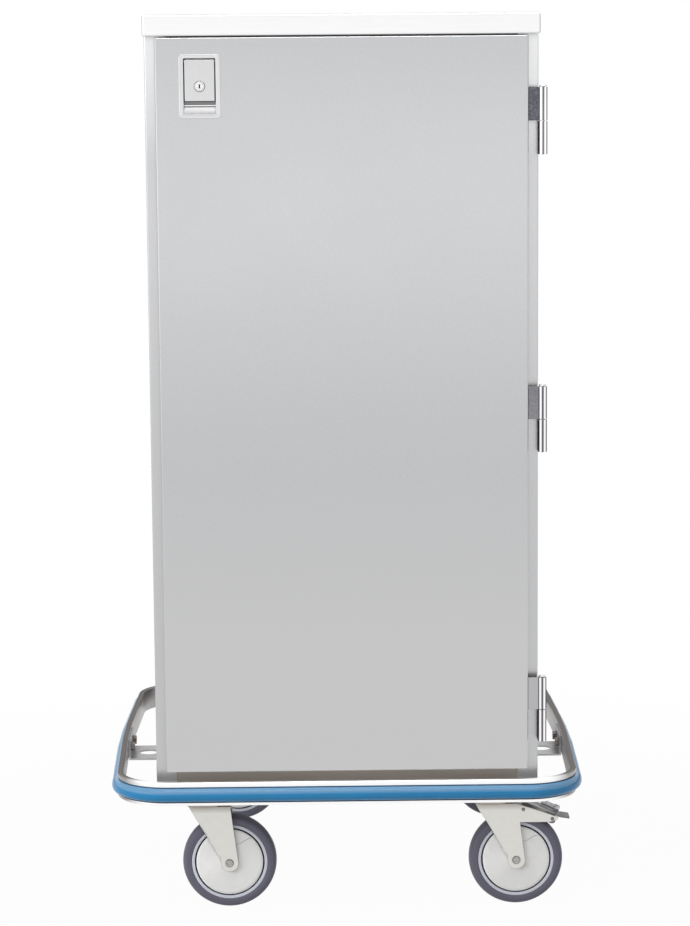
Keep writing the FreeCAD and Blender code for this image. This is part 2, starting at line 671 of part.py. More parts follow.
# Latch case behind the tray, and the bolt that slides in it towards the left stile
CASE_BACK = "door_stand + case_back"
BOLT_NEAR = "door_stand + stile_return + bolt_back_gap"
BOLT_FAR = f"{BOLT_NEAR} + bolt_thick"
BOLT_TIP = f"-({OPENING} - bolt_tip_gap) - ({LATCH_X})"
BOLT_END = f"{BOLT_TIP} + bolt_length"
latch_case = less(
    "latch_case_drawn",
    box("case_block", ("-case_width/2", "case_width/2"), ("tray_depth", CASE_BACK),
        ("-case_height/2", "case_height/2")),
    box("bolt_way", ("-case_width/2 - overrun", f"{BOLT_END} + bolt_throw + bolt_fit"),
        (f"{BOLT_NEAR} - bolt_fit", f"{BOLT_FAR} + bolt_fit"),
        ("-bolt_height/2 - bolt_fit", "bolt_height/2 + bolt_fit")))
keep("latch_case", copy_at("latch_case", latch_case, *LATCH_AT))
latch_bolt = slab("latch_bolt_drawn", "XY_Plane", "-bolt_height/2",
                  [(BOLT_TIP, BOLT_NEAR), (BOLT_END, BOLT_NEAR), (BOLT_END, BOLT_FAR),
                   (f"{BOLT_TIP} + bolt_bevel", BOLT_FAR), (BOLT_TIP, f"{BOLT_FAR} - bolt_bevel")],
                  "bolt_height")
keep("latch_bolt", copy_at("latch_bolt", latch_bolt, *LATCH_AT))


# Bumper ring: prisms of one plan shape, each grown by an offset, make the lipped channel and its insert

def ring_prism(name, grow, low, high):
    wide = f"ring_half_width + {grow}"
    bowed = f"ring_half_width + ring_bow + {grow}"
    deep = f"{BACK} + ring_end_gap + {grow}"
    plan = [
        (f"-({wide})", f"-({deep})"), (wide, f"-({deep})"), (bowed, "-ring_flat"), (bowed, "ring_flat"),
        (wide, deep), (f"-({wide})", deep), (f"-({bowed})", "ring_flat"), (f"-({bowed})", "-ring_flat"),
    ]
    prism = slab(name, "XY_Plane", low, plan, f"({high}) - ({low})")
    far = size(deep)
    return soften(prism, name + "_corners", f"ring_corner + {grow}",
                  lambda e: abs(heading(e).z) > 0.9 and close(abs(middle(e).y), far))


RAIL_LOW = "rail_top - rail_height"
rail_tall = (f"{RAIL_LOW} + rail_sheet", "rail_top - rail_sheet")
rail_mouth = (f"{RAIL_LOW} + rail_lip", "rail_top - rail_lip")
through = (f"{RAIL_LOW} - overrun", "rail_top + overrun")
cavity = less("rail_cavity", ring_prism("rail_cavity_out", "rail_reach - rail_sheet", *rail_tall),
              ring_prism("rail_cavity_in", "rail_sheet", *through))
mouth = less("rail_mouth", ring_prism("rail_mouth_out", "rail_reach + overrun", *rail_mouth),
             ring_prism("rail_mouth_in", "rail_reach - 2*rail_sheet", *through))
keep("bumper_channel", less("bumper_channel", ring_prism("rail_block", "rail_reach", RAIL_LOW, "rail_top"),
                            ring_prism("rail_inside", "0", *through), cavity, mouth))

INSERT_REACH = "rail_reach + insert_proud"
nose_tall = (f"{rail_mouth[0]} + insert_fit", f"{rail_mouth[1]} - insert_fit")
insert_nose = ring_prism("insert_nose", INSERT_REACH, *nose_tall)
nose_low, nose_high = size(nose_tall[0]), size(nose_tall[1])
soften(insert_nose, "insert_nose_round", "insert_round",
       lambda e: close(middle(e).z, nose_low) or close(middle(e).z, nose_high))
insert_foot = ring_prism("insert_foot", "rail_reach - rail_sheet - insert_fit",
                         f"{rail_tall[0]} + insert_fit", f"{rail_tall[1]} - insert_fit")
keep("bumper_insert", less("bumper_insert", join("insert_blank", [insert_nose, insert_foot]),
                           ring_prism("insert_inside", "rail_sheet + insert_fit", *through)))

# Bracket plates from under the side panels out to the rail, with an upturned tab
RAIL_X = "ring_half_width + ring_bow"
PLATE_LOW = "base_lift - bracket_thick"
TAB_BOLT_Z = "base_lift + tab_bolt_rise"
bumper_bolts = []
for node, turn in (("bumper_bracket_right", 0), ("bumper_bracket_left", 180)):
    run = ("-bracket_run/2", "bracket_run/2")
    blank = join(node + "_blank", [
        box(node + "_plate", (f"{HALF} - bracket_tuck", RAIL_X), run, (PLATE_LOW, "base_lift")),
        box(node + "_tab", (f"{RAIL_X} - bracket_thick", RAIL_X), run,
            (PLATE_LOW, "base_lift + bracket_tab_height")),
    ])
    hole = rod(node + "_hole", "z", (f"({HALF} + {RAIL_X})/2", "0", f"{PLATE_LOW} - overrun"),
               "bracket_hole_radius", "bracket_thick + 2*overrun")
    bores = []
    for k, side in enumerate("-+"):
        foot_at = (f"{HALF} - foot_bolt_inset", f"{side}foot_bolt_pitch/2")
        tab_at = (f"{side}tab_bolt_pitch/2", TAB_BOLT_Z)
        bores.append(rod(f"{node}_foot_bore_{k}", "z", (*foot_at, f"{PLATE_LOW} - overrun"),
                         "bolt_hole_radius", "bracket_thick + 2*overrun"))
        bores.append(rod(f"{node}_tab_bore_{k}", "x", (f"{RAIL_X} - bracket_thick - overrun", *tab_at),
                         "bolt_hole_radius", "bracket_thick + 2*overrun"))
        foot_bolt = join(f"{node}_foot_bolt_{k}", [
            hexagon(f"{node}_foot_head_{k}", "z", (*foot_at, f"{PLATE_LOW} - nut_height"), "nut_radius",
                    "nut_height"),
            rod(f"{node}_foot_shank_{k}", "z", (*foot_at, f"{PLATE_LOW} - nut_height"), "bolt_radius",
                "bracket_thick + sheet + 2*nut_height"),
            hexagon(f"{node}_foot_nut_{k}", "z", (*foot_at, "base_lift + sheet"), "nut_radius", "nut_height"),
        ])
        stud_at = (f"{RAIL_X} - bracket_thick - nut_height", *tab_at)
        tab_stud = join(f"{node}_tab_stud_{k}", [
            rod(f"{node}_tab_shank_{k}", "x", stud_at, "bolt_radius", "bracket_thick + nut_height"),
            hexagon(f"{node}_tab_nut_{k}", "x", stud_at, "nut_radius", "nut_height"),
        ])
        for bolt in (foot_bolt, tab_stud):
            bumper_bolts.append(copy_at(f"{bolt.Name}_set", bolt, "0", "0", "0", turn))
    keep(node, copy_at(node, less(node + "_drawn", blank, hole, *bores), "0", "0", "0", turn))
keep("bumper_bolts", group("bumper_bolts", bumper_bolts))

# Casters, drawn about the swivel axis with the wheel trailing towards +X
FORK_HALF = "fork_inner_width/2 + fork_sheet"
CROWN_LOW = "fork_top - fork_sheet"
PLATE_UNDER = "base_lift - plate_thick"


def at_axle(across, up):
    return (f"caster_offset + {across}", f"wheel_radius + {up}")


holes = [
    rod(f"plate_hole_{k}", "z", (u, v, f"{PLATE_UNDER} - overrun"), "bolt_hole_radius",
        "plate_thick + 2*overrun")
    for k, (u, v) in enumerate(plate_bolts)
]
caster_plate = join("caster_plate", [
    less("caster_plate_drilled",
         box("caster_plate_blank", ("-plate_length/2", "plate_length/2"), ("-plate_width/2", "plate_width/2"),
             (PLATE_UNDER, "base_lift")), *holes),
    rod("caster_race", "z", ("0", "0", "fork_top + swivel_gap"), "race_radius",
        f"{PLATE_UNDER} - fork_top - swivel_gap"),
    rod("king_pin", "z", ("0", "0", f"{CROWN_LOW} - swivel_gap - king_nut_height"), "king_radius",
        f"{PLATE_UNDER} - ({CROWN_LOW}) + swivel_gap + king_nut_height"),
    hexagon("king_nut", "z", ("0", "0", f"{CROWN_LOW} - swivel_gap - king_nut_height"), "king_nut_radius",
            "king_nut_height"),
])
caster_bolt = join("caster_bolt", [
    hexagon("caster_bolt_head", "z", ("0", "0", f"{PLATE_UNDER} - nut_height"), "nut_radius", "nut_height"),
    rod("caster_bolt_shank", "z", ("0", "0", f"{PLATE_UNDER} - nut_height"), "bolt_radius",
        "plate_thick + channel_sheet + 2*nut_height"),
    hexagon("caster_bolt_nut", "z", ("0", "0", "base_lift + channel_sheet"), "nut_radius", "nut_height"),
])


def fork(name, braked):
    """Pressed fork: crown, two legs and a short leading web, cut from one block."""
    lead = at_axle("-fork_lead", "0")[0]
    slope = "(fork_lead - fork_lobe)/(fork_top - wheel_radius)"
    legs = slab(name + "_block", "XZ_Plane", f"-({FORK_HALF})", [
        (lead, "fork_top"), ("caster_offset + fork_trail", "fork_top"), at_axle("fork_lobe", "0"),
        at_axle("fork_lobe", "-fork_lobe"), at_axle("-fork_lobe", "-fork_lobe"), at_axle("-fork_lobe", "0"),
    ], f"2*({FORK_HALF})")
    foot = size("wheel_radius - fork_lobe")
    soften(legs, name + "_lobes", "fork_lobe_round",
           lambda e: abs(heading(e).y) > 0.9 and close(middle(e).z, foot))
    nose = size(at_axle("-(fork_lead + fork_lobe)/2", "0")[0])
    soften(legs, name + "_folds", "fork_round",
           lambda e: abs(heading(e).y) < 0.1 and abs(heading(e).z) > 0.5 and close(middle(e).x, nose))
    solids = [legs]
    if braked:
        solids.append(slab(name + "_arms", "XZ_Plane", f"-({FORK_HALF})", [
            ("caster_offset", "fork_top"), at_axle("arm_tip", "arm_tip_top"),
            at_axle("arm_tip", "arm_tip_rise"), at_axle("arm_foot", "arm_low"),
            at_axle("arm_start", "arm_low"),
            ("caster_offset", "wheel_radius + arm_low"),
        ], f"2*({FORK_HALF})"))
    left = f"{lead} - overrun"
    right = at_axle("arm_tip + overrun", "0")[0]
    low = "wheel_radius - fork_lobe - overrun"
    room = slab(name + "_room", "XZ_Plane", "-fork_inner_width/2", [
        (f"{lead} + fork_web + fork_sheet*{slope}", CROWN_LOW), (right, CROWN_LOW), (right, low), (left, low),
        (left, "fork_web_low"), (f"{lead} + fork_web + (fork_top - fork_web_low)*{slope}", "fork_web_low"),
    ], "fork_inner_width")
    bores = [
        rod(name + "_king_bore", "z", ("0", "0", f"{CROWN_LOW} - overrun"), "king_radius + bearing_play",
            "fork_sheet + 2*overrun"),
        rod(name + "_axle_bore", "y", ("caster_offset", f"-({FORK_HALF}) - overrun", "wheel_radius"),
            "axle_radius + pin_play", f"2*({FORK_HALF} + overrun)"),
    ]
    if braked:
        across, up = at_axle("pivot_out", "pivot_up")
        bores.append(rod(name + "_pivot_bore", "y", (across, f"-({FORK_HALF}) - overrun", up),
                         "brake_pin_radius + bearing_play", f"2*({FORK_HALF} + overrun)"))
    blank = solids[0] if len(solids) == 1 else join(name + "_blank", solids)
    return less(name, blank, room, *bores)


plain_fork = fork("plain_fork", False)
brake_fork = fork("brake_fork", True)
axle = join("axle", [
    rod("axle_shaft", "y", ("caster_offset", f"-({FORK_HALF})", "wheel_radius"), "axle_radius",
        f"2*({FORK_HALF})"),
    rod("axle_head_near", "y", ("caster_offset", f"-({FORK_HALF}) - axle_head_height", "wheel_radius"),
        "axle_head_radius", "axle_head_height"),
    rod("axle_head_far", "y", ("caster_offset", FORK_HALF, "wheel_radius"), "axle_head_radius",
        "axle_head_height"),
])
wheel_core = spun("wheel_core", [
    ("-hub_width/2", "axle_radius + bearing_play"), ("hub_width/2", "axle_radius + bearing_play"),
    ("hub_width/2", "hub_radius"), ("web_width/2", "hub_radius"), ("web_width/2", "rim_radius - rim_depth"),
    ("rim_width/2", "rim_radius - rim_depth"), ("rim_width/2", "rim_radius"), ("-rim_width/2", "rim_radius"),
    ("-rim_width/2", "rim_radius - rim_depth"), ("-web_width/2", "rim_radius - rim_depth"),
    ("-web_width/2", "hub_radius"), ("-hub_width/2", "hub_radius"),
])
tyre = spun("tyre", [
    ("-tyre_width/2", "rim_radius"), ("tyre_width/2", "rim_radius"), ("tyre_width/2", "wheel_radius"),
    ("-tyre_width/2", "wheel_radius"),
])
tread = size("wheel_radius")
soften(tyre, "tyre_shoulders", "tyre_shoulder",
       lambda e: close(FreeCAD.Vector(middle(e).x, 0, middle(e).z).Length, tread) and abs(heading(e).y) < 0.1)
GUARD_IN = "hub_width/2 + guard_gap"
guard_discs = [
    spun(f"guard_disc_{k}", [
        (f"{s}({GUARD_IN})", "axle_radius + pin_play"), (f"{s}fork_inner_width/2", "axle_radius + pin_play"),
        (f"{s}fork_inner_width/2", "guard_boss_radius"),
        (f"{s}({GUARD_IN} + guard_thick)", "guard_boss_radius"),
        (f"{s}({GUARD_IN} + guard_thick)", "guard_radius"), (f"{s}({GUARD_IN})", "guard_radius"),
    ]) for k, s in enumerate("-+")
]
guards = group("guards", guard_discs)

# Brake pedal on its cross pin, with the adjuster screw lying along it
FALL = "atan((pedal_start_up - pedal_knee_up)/(pedal_knee - pedal_start))"


def in_bar(out):
    """A point in the middle of the bar's thickness, so far out from the axle."""
    return at_axle(out, f"pedal_start_up - ({out} - pedal_start)*tan({FALL}) - pedal_thick/2")


across, up = at_axle("pivot_out", "pivot_up")
pedal_bar = slab("pedal_bar", "XZ_Plane", "-pedal_width/2", [
    at_axle("pedal_start", "pedal_start_up"), at_axle("pedal_knee", "pedal_knee_up"),
    at_axle("pedal_end", "pedal_end_up"), at_axle("pedal_end", "pedal_end_up - pedal_thick"),
    at_axle("pedal_knee", "pedal_knee_up - pedal_thick"),
    at_axle("pedal_start", "pedal_start_up - pedal_thick"),
], "pedal_width")
pedal_lug = slab("pedal_lug", "XZ_Plane", "-pedal_width/2", [
    at_axle("pivot_out - pedal_lug_half", "pedal_lug_low"),
    at_axle("pivot_out + pedal_lug_half", "pedal_lug_low"),
    in_bar("pivot_out + pedal_lug_half"), in_bar("pivot_out - pedal_lug_half"),
], "pedal_width")
lug_foot = size("wheel_radius + pedal_lug_low")
soften(pedal_lug, "pedal_lug_foot", "pedal_lug_round",
       lambda e: abs(heading(e).y) > 0.9 and close(middle(e).z, lug_foot))
brake_pedal = join("brake_pedal", [
    pedal_bar, pedal_lug,
    rod("brake_pin", "y", (across, f"-({FORK_HALF}) - brake_pin_proud", up), "brake_pin_radius",
        f"2*({FORK_HALF} + brake_pin_proud)"),
])
SEAT = "adjuster_nut_radius + adjuster_seat"


def along_pedal(distance):
    return (f"caster_offset + adjuster_start + ({distance})*cos({FALL}) + ({SEAT})*sin({FALL})", "0",
            f"wheel_radius + pedal_start_up - (adjuster_start - pedal_start)*tan({FALL})"
            f" - ({distance})*sin({FALL}) + ({SEAT})*cos({FALL})")


screw = rod("adjuster_screw", "x", along_pedal("0"), "adjuster_radius", "adjuster_length")
nut = hexagon("adjuster_nut", "x", along_pedal("adjuster_length"), "adjuster_nut_radius",
              "adjuster_nut_length")
for piece in (screw, nut):
    tie(piece, "Placement.Rotation.Angle", f"90 deg + {FALL}")
brake_adjuster = join("brake_adjuster", [screw, nut])

caster_bolts = []
for spot, (x, y) in caster_spots.items():
    braked = spot in ("front_right", "rear_left")
    pieces = {"caster_plate": caster_plate, "caster_fork": plain_fork, "caster_axle": axle}
    if braked:
        pieces["caster_fork"] = brake_fork
        pieces["brake_pedal"] = brake_pedal
        pieces["brake_adjuster"] = brake_adjuster
    for piece, source in pieces.items():
        keep(f"{piece}_{spot}", copy_at(f"{piece}_{spot}", source, x, y, "0"))
    for piece, source in (("thread_guards", guards), ("wheel_core", wheel_core), ("wheel_tyre", tyre)):
        keep(f"{piece}_{spot}", copy_at(f"{piece}_{spot}", source, f"{x} + caster_offset", y, "wheel_radius"))
    caster_bolts += [copy_at(f"caster_bolt_{spot}_{k}", caster_bolt, f"{x} {u}", f"{y} {v}", "0")
                     for k, (u, v) in enumerate(plate_bolts)]
keep("caster_bolts", group("caster_bolts", caster_bolts))

# Every object is sound before its file is written
doc.recompute()
for thing in doc.Objects:
    if "Invalid" in thing.State or "Error" in thing.State:
        raise RuntimeError(f"{thing.Label} did not compute: {thing.State}")
os.makedirs("parts", exist_ok=True)
for node, thing in nodes.items():
    if thing.Shape.isNull() or not thing.Shape.isValid() or not thing.Shape.Solids:
        raise RuntimeError(f"{node} has no sound solid")
    thing.Shape.exportStep(f"parts/{node}.step")
    print(node, len(thing.Shape.Solids), round(thing.Shape.Volume))
print(len(nodes), "nodes")
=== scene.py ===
# %% [markdown]
# A closed case cart
#
# The cart carries wrapped instrument cases through a hospital: a tall stainless cabinet with one door,
# a padded rail round its base and four swivel casters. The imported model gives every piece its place, so
# this lesson only dresses it: finer surfaces where the eye comes close, and a finish for every metal.

import json
import math

import bmesh
import bpy
import numpy as np
from mathutils import Matrix, Vector

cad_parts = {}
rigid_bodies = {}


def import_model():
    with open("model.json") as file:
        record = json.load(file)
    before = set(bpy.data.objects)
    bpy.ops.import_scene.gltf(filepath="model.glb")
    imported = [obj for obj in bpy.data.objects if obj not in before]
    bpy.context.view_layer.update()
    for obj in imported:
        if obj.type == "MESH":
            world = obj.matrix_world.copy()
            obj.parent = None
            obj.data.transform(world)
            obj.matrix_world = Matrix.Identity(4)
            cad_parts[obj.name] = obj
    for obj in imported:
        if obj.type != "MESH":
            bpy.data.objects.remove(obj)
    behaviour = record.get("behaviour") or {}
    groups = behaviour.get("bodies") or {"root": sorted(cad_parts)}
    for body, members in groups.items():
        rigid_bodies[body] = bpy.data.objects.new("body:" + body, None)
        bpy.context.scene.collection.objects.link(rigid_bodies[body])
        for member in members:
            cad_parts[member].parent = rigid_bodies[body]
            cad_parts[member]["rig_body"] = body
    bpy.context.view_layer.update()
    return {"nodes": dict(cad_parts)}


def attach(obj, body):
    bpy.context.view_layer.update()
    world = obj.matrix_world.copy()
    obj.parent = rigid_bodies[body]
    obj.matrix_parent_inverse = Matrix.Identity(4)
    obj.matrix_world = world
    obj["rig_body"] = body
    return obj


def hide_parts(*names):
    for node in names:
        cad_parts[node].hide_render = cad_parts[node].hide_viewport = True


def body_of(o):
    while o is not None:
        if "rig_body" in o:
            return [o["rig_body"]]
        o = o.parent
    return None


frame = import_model()
nodes = frame["nodes"]
scene = bpy.context.scene
scene.view_settings.view_transform = "Standard"
SPOTS = ("front_left", "front_right", "rear_left", "rear_right")
BRAKED = ("front_right", "rear_left")
print(len(nodes), "nodes loaded")

# %% [markdown]
# The camera
#
# The photograph was taken from about four and a half metres away with a long lens, a little above the
# middle of the cart and tipped down eight degrees. A long lens keeps the cabinet's sides almost parallel.
# The camera's matrix is written as its right, up and backward directions, which is what a lens fit gives.

# %% Place the camera
YAW, PITCH, ROLL = math.radians(0.62), math.radians(7.948), math.radians(-0.47)
CAMERA_AT = (-0.0473, -4.7386, 1.3497)
SENSOR_MM, FOCAL_MM = 36, 109.76
forward = Vector((math.sin(YAW) * math.cos(PITCH), math.cos(YAW) * math.cos(PITCH), -math.sin(PITCH)))
level = Vector((math.cos(YAW), -math.sin(YAW), 0))
upward = level.cross(forward)
right = math.cos(ROLL) * level + math.sin(ROLL) * upward
top = -math.sin(ROLL) * level + math.cos(ROLL) * upward
lens = bpy.data.cameras.new("photo_camera")
lens.sensor_width = SENSOR_MM
lens.lens = FOCAL_MM
camera = bpy.data.objects.new("photo_camera", lens)
scene.collection.objects.link(camera)
turn = Matrix((right, top, -forward)).transposed().to_4x4()
camera.matrix_world = Matrix.Translation(CAMERA_AT) @ turn
scene.camera = camera
print("camera at", [round(v, 3) for v in camera.matrix_world.translation])


# %% [markdown]
# Node helpers
#
# Each finish is a small node tree. These helpers add a node, set its sockets and link it in one line, so
# that a material reads as a list of what it does.

# %% Helpers for materials
def add(tree, kind, **sockets):
    """Adds one node and sets its sockets: a value is written to the socket, a socket is linked to it."""
    node = tree.nodes.new(kind)
    for name, value in sockets.items():
        numbered = name[0] == "i" and name[1:].isdigit()
        socket = node.inputs[int(name[1:]) if numbered else name.replace("_", " ")]
        if isinstance(value, bpy.types.NodeSocket):
            tree.links.new(value, socket)
        else:
            socket.default_value = value
    return node


def maths(tree, operation, *values):
    """One Math node: an operation on one or two values or sockets."""
    node = add(tree, "ShaderNodeMath", **{f"i{k}": value for k, value in enumerate(values)})
    node.operation = operation
    return node.outputs[0]


def fresh(name):
    """A new material with its Principled shader, ready for nodes."""
    material = bpy.data.materials.new(name)
    material.use_nodes = True
    tree = material.node_tree
    return material, tree, tree.nodes["Principled BSDF"]


def stretched(tree, scale, detail=3.0):
    """Noise read from Object coordinates, stretched by a scale along each axis."""
    place = add(tree, "ShaderNodeTexCoord")
    mapped = add(tree, "ShaderNodeMapping", Vector=place.outputs["Object"], Scale=scale)
    noise = add(tree, "ShaderNodeTexNoise", Vector=mapped.outputs["Vector"], Scale=1.0, Detail=detail)
    return noise.outputs["Fac"]


def spread(tree, value, low, high, start=0.3, end=0.7):
    """Maps a value from start to end onto a range from low to high, and holds it there beyond."""
    node = add(tree, "ShaderNodeMapRange", Value=value, From_Min=start, From_Max=end, To_Min=low, To_Max=high)
    return node.outputs["Result"]


def blend(tree, share, first, second):
    """Mixes two colours by a share; each is a colour or another node's socket."""
    mixed = tree.nodes.new("ShaderNodeMix")
    mixed.data_type = "RGBA"
    tree.links.new(share, mixed.inputs["Factor"])
    for key, colour in (("A", first), ("B", second)):
        if isinstance(colour, bpy.types.NodeSocket):
            tree.links.new(colour, mixed.inputs[key])
        else:
            mixed.inputs[key].default_value = (*colour, 1)
    return mixed.outputs["Result"]


# %% [markdown]
# Rounded edges in the shading
#
# Sheared and folded steel has a tiny round on every edge, and the edge is where a finish wears. Cycles has a
# Bevel node that bends the normal near an edge without touching the mesh. How far that normal leaves the flat
# one is also a mask of the edges, so one node gives both the soft highlight and the edge tone: wear on most
# finishes, a painted highlight along the door's bends, and painted shade round the forks and the brake nuts.
# Brushed steel, polished bar and moulded skins below all use it.

# %% Edges, brushed steel and moulded skins
def soft_edges(tree, radius):
    """The bent normal, and a mask: 0 on a flat, rising to 1 as the bent normal leaves the flat one."""
    bevel = add(tree, "ShaderNodeBevel", Radius=radius)
    bevel.samples = 6
    flat = add(tree, "ShaderNodeNewGeometry")
    agree = add(tree, "ShaderNodeVectorMath", i0=bevel.outputs["Normal"], i1=flat.outputs["Normal"])
    agree.operation = "DOT_PRODUCT"
    return bevel.outputs["Normal"], spread(tree, agree.outputs["Value"], 0.0, 1.0, 0.99, 0.8)


def finish_with(tree, shader, colour, rough, drift, height, strength, normal):
    """Links a colour, a roughness (low, high) that drifts, and a bump on the bent normal to the shader."""
    tree.links.new(colour, shader.inputs["Base Color"])
    tree.links.new(spread(tree, drift, *rough), shader.inputs["Roughness"])
    bump = add(tree, "ShaderNodeBump", Height=height, Strength=strength, Distance=0.0004, Normal=normal)
    tree.links.new(bump.outputs["Normal"], shader.inputs["Normal"])


def passed(tree, axis, start, end):
    """0 before a place on an Object axis and 1 beyond another, in metres."""
    place = add(tree, "ShaderNodeTexCoord")
    parts = add(tree, "ShaderNodeSeparateXYZ", Vector=place.outputs["Object"])
    return spread(tree, parts.outputs[axis], 0.0, 1.0, start, end)


def facing(tree, axis):
    """How far the surface looks along an axis, from -1 to 1."""
    face = add(tree, "ShaderNodeNewGeometry")
    return add(tree, "ShaderNodeSeparateXYZ", Vector=face.outputs["Normal"]).outputs[axis]


def looks_up(tree, start=0.5, end=0.9):
    """0 on upright faces and 1 on those that look up, rising between two values of the normal's Z."""
    return spread(tree, facing(tree, "Z"), 0.0, 1.0, start, end)


def scaled(tone, factor):
    """A tone made lighter or darker, and held below white."""
    return [min(1.0, c * factor) for c in tone]


def brushed(name, tone, rough, grain, edge=0.0006, edge_wear_and_light=1.12, tint=0.02, fade=None, only=None, painted_graze_tint=None,
            painted_top_shade=None):
    """Ground steel: scratches along one axis change the tone and the surface, and edges take a tone of their
    own.

    A little lighter at the edges is wear; much lighter is a painted highlight, and darker is painted shade.
    A fade of (axis, start, end, other tone) passes the tone to the other along an axis, and, when a second
    (axis, start, end) is given, just where that has been passed too. A grazing tint colours what that other
    tone shows at a flat angle, on faces that look up: a painted reflection. A top tone, when given, is the
    colour of faces that look up: painted shade."""
    material, tree, shader = fresh(name)
    scratch = stretched(tree, grain, 4.0)
    cloud = stretched(tree, (6.0, 6.0, 6.0), 2.0)
    normal, mask = soft_edges(tree, edge)
    colour = blend(tree, spread(tree, scratch, 0.0, 1.0), scaled(tone, 1 - tint), scaled(tone, 1 + tint))
    # Edge tone: wear where a little lighter, a painted highlight where much lighter, painted shade where
    # darker.
    rim = scaled(tone, edge_wear_and_light)
    if fade:
        share = passed(tree, *fade[:3])
        if only:
            share = maths(tree, "MULTIPLY", share, passed(tree, *only))
        colour, rim = blend(tree, share, colour, fade[3]), blend(tree, share, rim, scaled(fade[3], edge_wear_and_light))
        # Painted reflection: a darker tint at a grazing angle on faces that look up.
        if painted_graze_tint:
            flat = maths(tree, "MULTIPLY", share, looks_up(tree))
            tree.links.new(blend(tree, flat, (1, 1, 1), painted_graze_tint), shader.inputs["Specular Tint"])
    # Painted shade on faces that look up.
    if painted_top_shade:
        colour = blend(tree, looks_up(tree), colour, painted_top_shade)
    colour = blend(tree, mask, colour, rim)
    finish_with(tree, shader, colour, (rough - 0.015, rough + 0.015), cloud, scratch, 0.05, normal)
    shader.inputs["Metallic"].default_value = 1.0
    return material


def bar_with_painted_reflections(name, tone, dark, rough):
    """Bright round bar with painted reflections: dark where it faces ahead or behind and along both sides,
    the lamps' white between.
    """
    material, tree, shader = fresh(name)
    scratch = stretched(tree, (800, 800, 30), 4.0)
    cloud = stretched(tree, (6.0, 6.0, 6.0), 2.0)
    normal = soft_edges(tree, 0.0003)[0]
    # Painted reflections: dark stripes by facing, with a weaker specular tint on them.
    aside = maths(tree, "ABSOLUTE", facing(tree, "X"))
    middle, side_reflections = spread(tree, aside, 0.95, 0.0, 0.15, 0.32), spread(tree, aside, 0.0, 0.95, 0.6, 0.8)
    share = maths(tree, "MAXIMUM", middle, side_reflections)
    colour = blend(tree, spread(tree, scratch, 0.0, 1.0), scaled(tone, 0.97), scaled(tone, 1.03))
    colour = blend(tree, share, colour, dark)
    tree.links.new(blend(tree, share, (1, 1, 1), (0.3, 0.3, 0.3)), shader.inputs["Specular Tint"])
    finish_with(tree, shader, colour, (rough - 0.015, rough + 0.015), cloud, scratch, 0.03, normal)
    shader.inputs["Metallic"].default_value = 1.0
    return material


def moulded(name, tone, rough, grain=900.0, strength=0.05, tint=0.05, edge=0.0005, edge_wear_and_light=1.15, gloss=0.5,
            painted_highlight_tone=None):
    """Moulded or cast skin: a fine pebble in the surface and slow drifts in colour and gloss.

    A paler tone for a round skin's upper half, when given, goes on faces that look up: a painted highlight."""
    material, tree, shader = fresh(name)
    pebble = stretched(tree, (grain, grain, grain), 2.0)
    cloud = stretched(tree, (14.0, 14.0, 14.0), 3.0)
    normal, mask = soft_edges(tree, edge)
    colour = blend(tree, spread(tree, cloud, 0.0, 1.0), scaled(tone, 1 - tint), scaled(tone, 1 + tint))
    # Painted highlight: a paler tone on faces that look up.
    if painted_highlight_tone:
        colour = blend(tree, looks_up(tree, 0.12, 0.45), colour, painted_highlight_tone)
    colour = blend(tree, mask, colour, scaled(tone, edge_wear_and_light))
    finish_with(tree, shader, colour, (rough - 0.05, rough + 0.05), cloud, pebble, strength, normal)
    shader.inputs["Specular IOR Level"].default_value = gloss
    return material


# %% [markdown]
# Finishes
#
# Stainless sheet comes with a satin face: a short even grain on the door and the sides, longer scratches
# along the cap and the rail. Zinc-plated casters are paler and warmer, the rail's strip is blue vinyl, and
# the wheels have a grey rubber tread on a pale rim. A metal shows its surroundings, so its tone is the share
# of white light that it gives back. Some tones carry painted light and shade besides: the cap and the rail's
# front are paler, and most tones that pass slowly into another along an axis do so as painted light and
# shade.

# %% Make the finishes
SATIN, UPRIGHT, LEVEL, EVEN = (420, 420, 360), (800, 800, 30), (30, 800, 800), (300, 300, 300)
# Painted light: the door turns paler towards the bottom, and its much lighter edges are a painted highlight
# on its bends.
door_steel = brushed("door_steel", (0.52, 0.525, 0.535), 0.30, SATIN, edge_wear_and_light=1.9, tint=0.035,
                     fade=("Z", 0.72, 0.45, (0.575, 0.575, 0.576)))
# Painted highlight: the stiles' front faces turn paler towards the top.
panel_steel = brushed("panel_steel", (0.537, 0.54, 0.547), 0.32, SATIN,
                      fade=("Z", 1.21, 1.40, (0.77, 0.775, 0.78)), only=("Y", -0.327, -0.3285))
# Painted light: the cap is paler than the door's steel; painted shade darkens its lower edge and faces that
# look up.
cap_steel = brushed("cap_steel", (0.845, 0.845, 0.845), 0.30, LEVEL,
                    fade=("Z", 1.4045, 1.4022, (0.62, 0.615, 0.62)), painted_top_shade=(0.60, 0.603, 0.61))
# Painted reflection: the dark tone of the strips on the cap's corners.
corner_reflection_steel = brushed("corner_reflection_steel", (0.20, 0.195, 0.21), 0.45, EVEN)
# Painted shade: the header, shelf fittings and latch case are dark because they lie in shade.
shade_steel = brushed("shade_steel", (0.235, 0.23, 0.23), 0.45, LEVEL)
# Painted shade: the sill's front is warm and dark in the door's shade, and paler further in.
sill_steel = brushed("sill_steel", (0.385, 0.348, 0.316), 0.45, LEVEL,
                     fade=("Y", -0.326, -0.29, (0.50, 0.50, 0.505)))
# Painted reflection: the rail is near white along its front and darker further back, with a darker tint at a
# grazing angle on upward faces.
rail_steel = brushed("rail_steel", (0.99, 0.985, 0.98), 0.34, (60, 60, 700),
                     fade=("Y", -0.3605, -0.335, (0.40, 0.39, 0.385)), painted_graze_tint=(0.2, 0.185, 0.175))
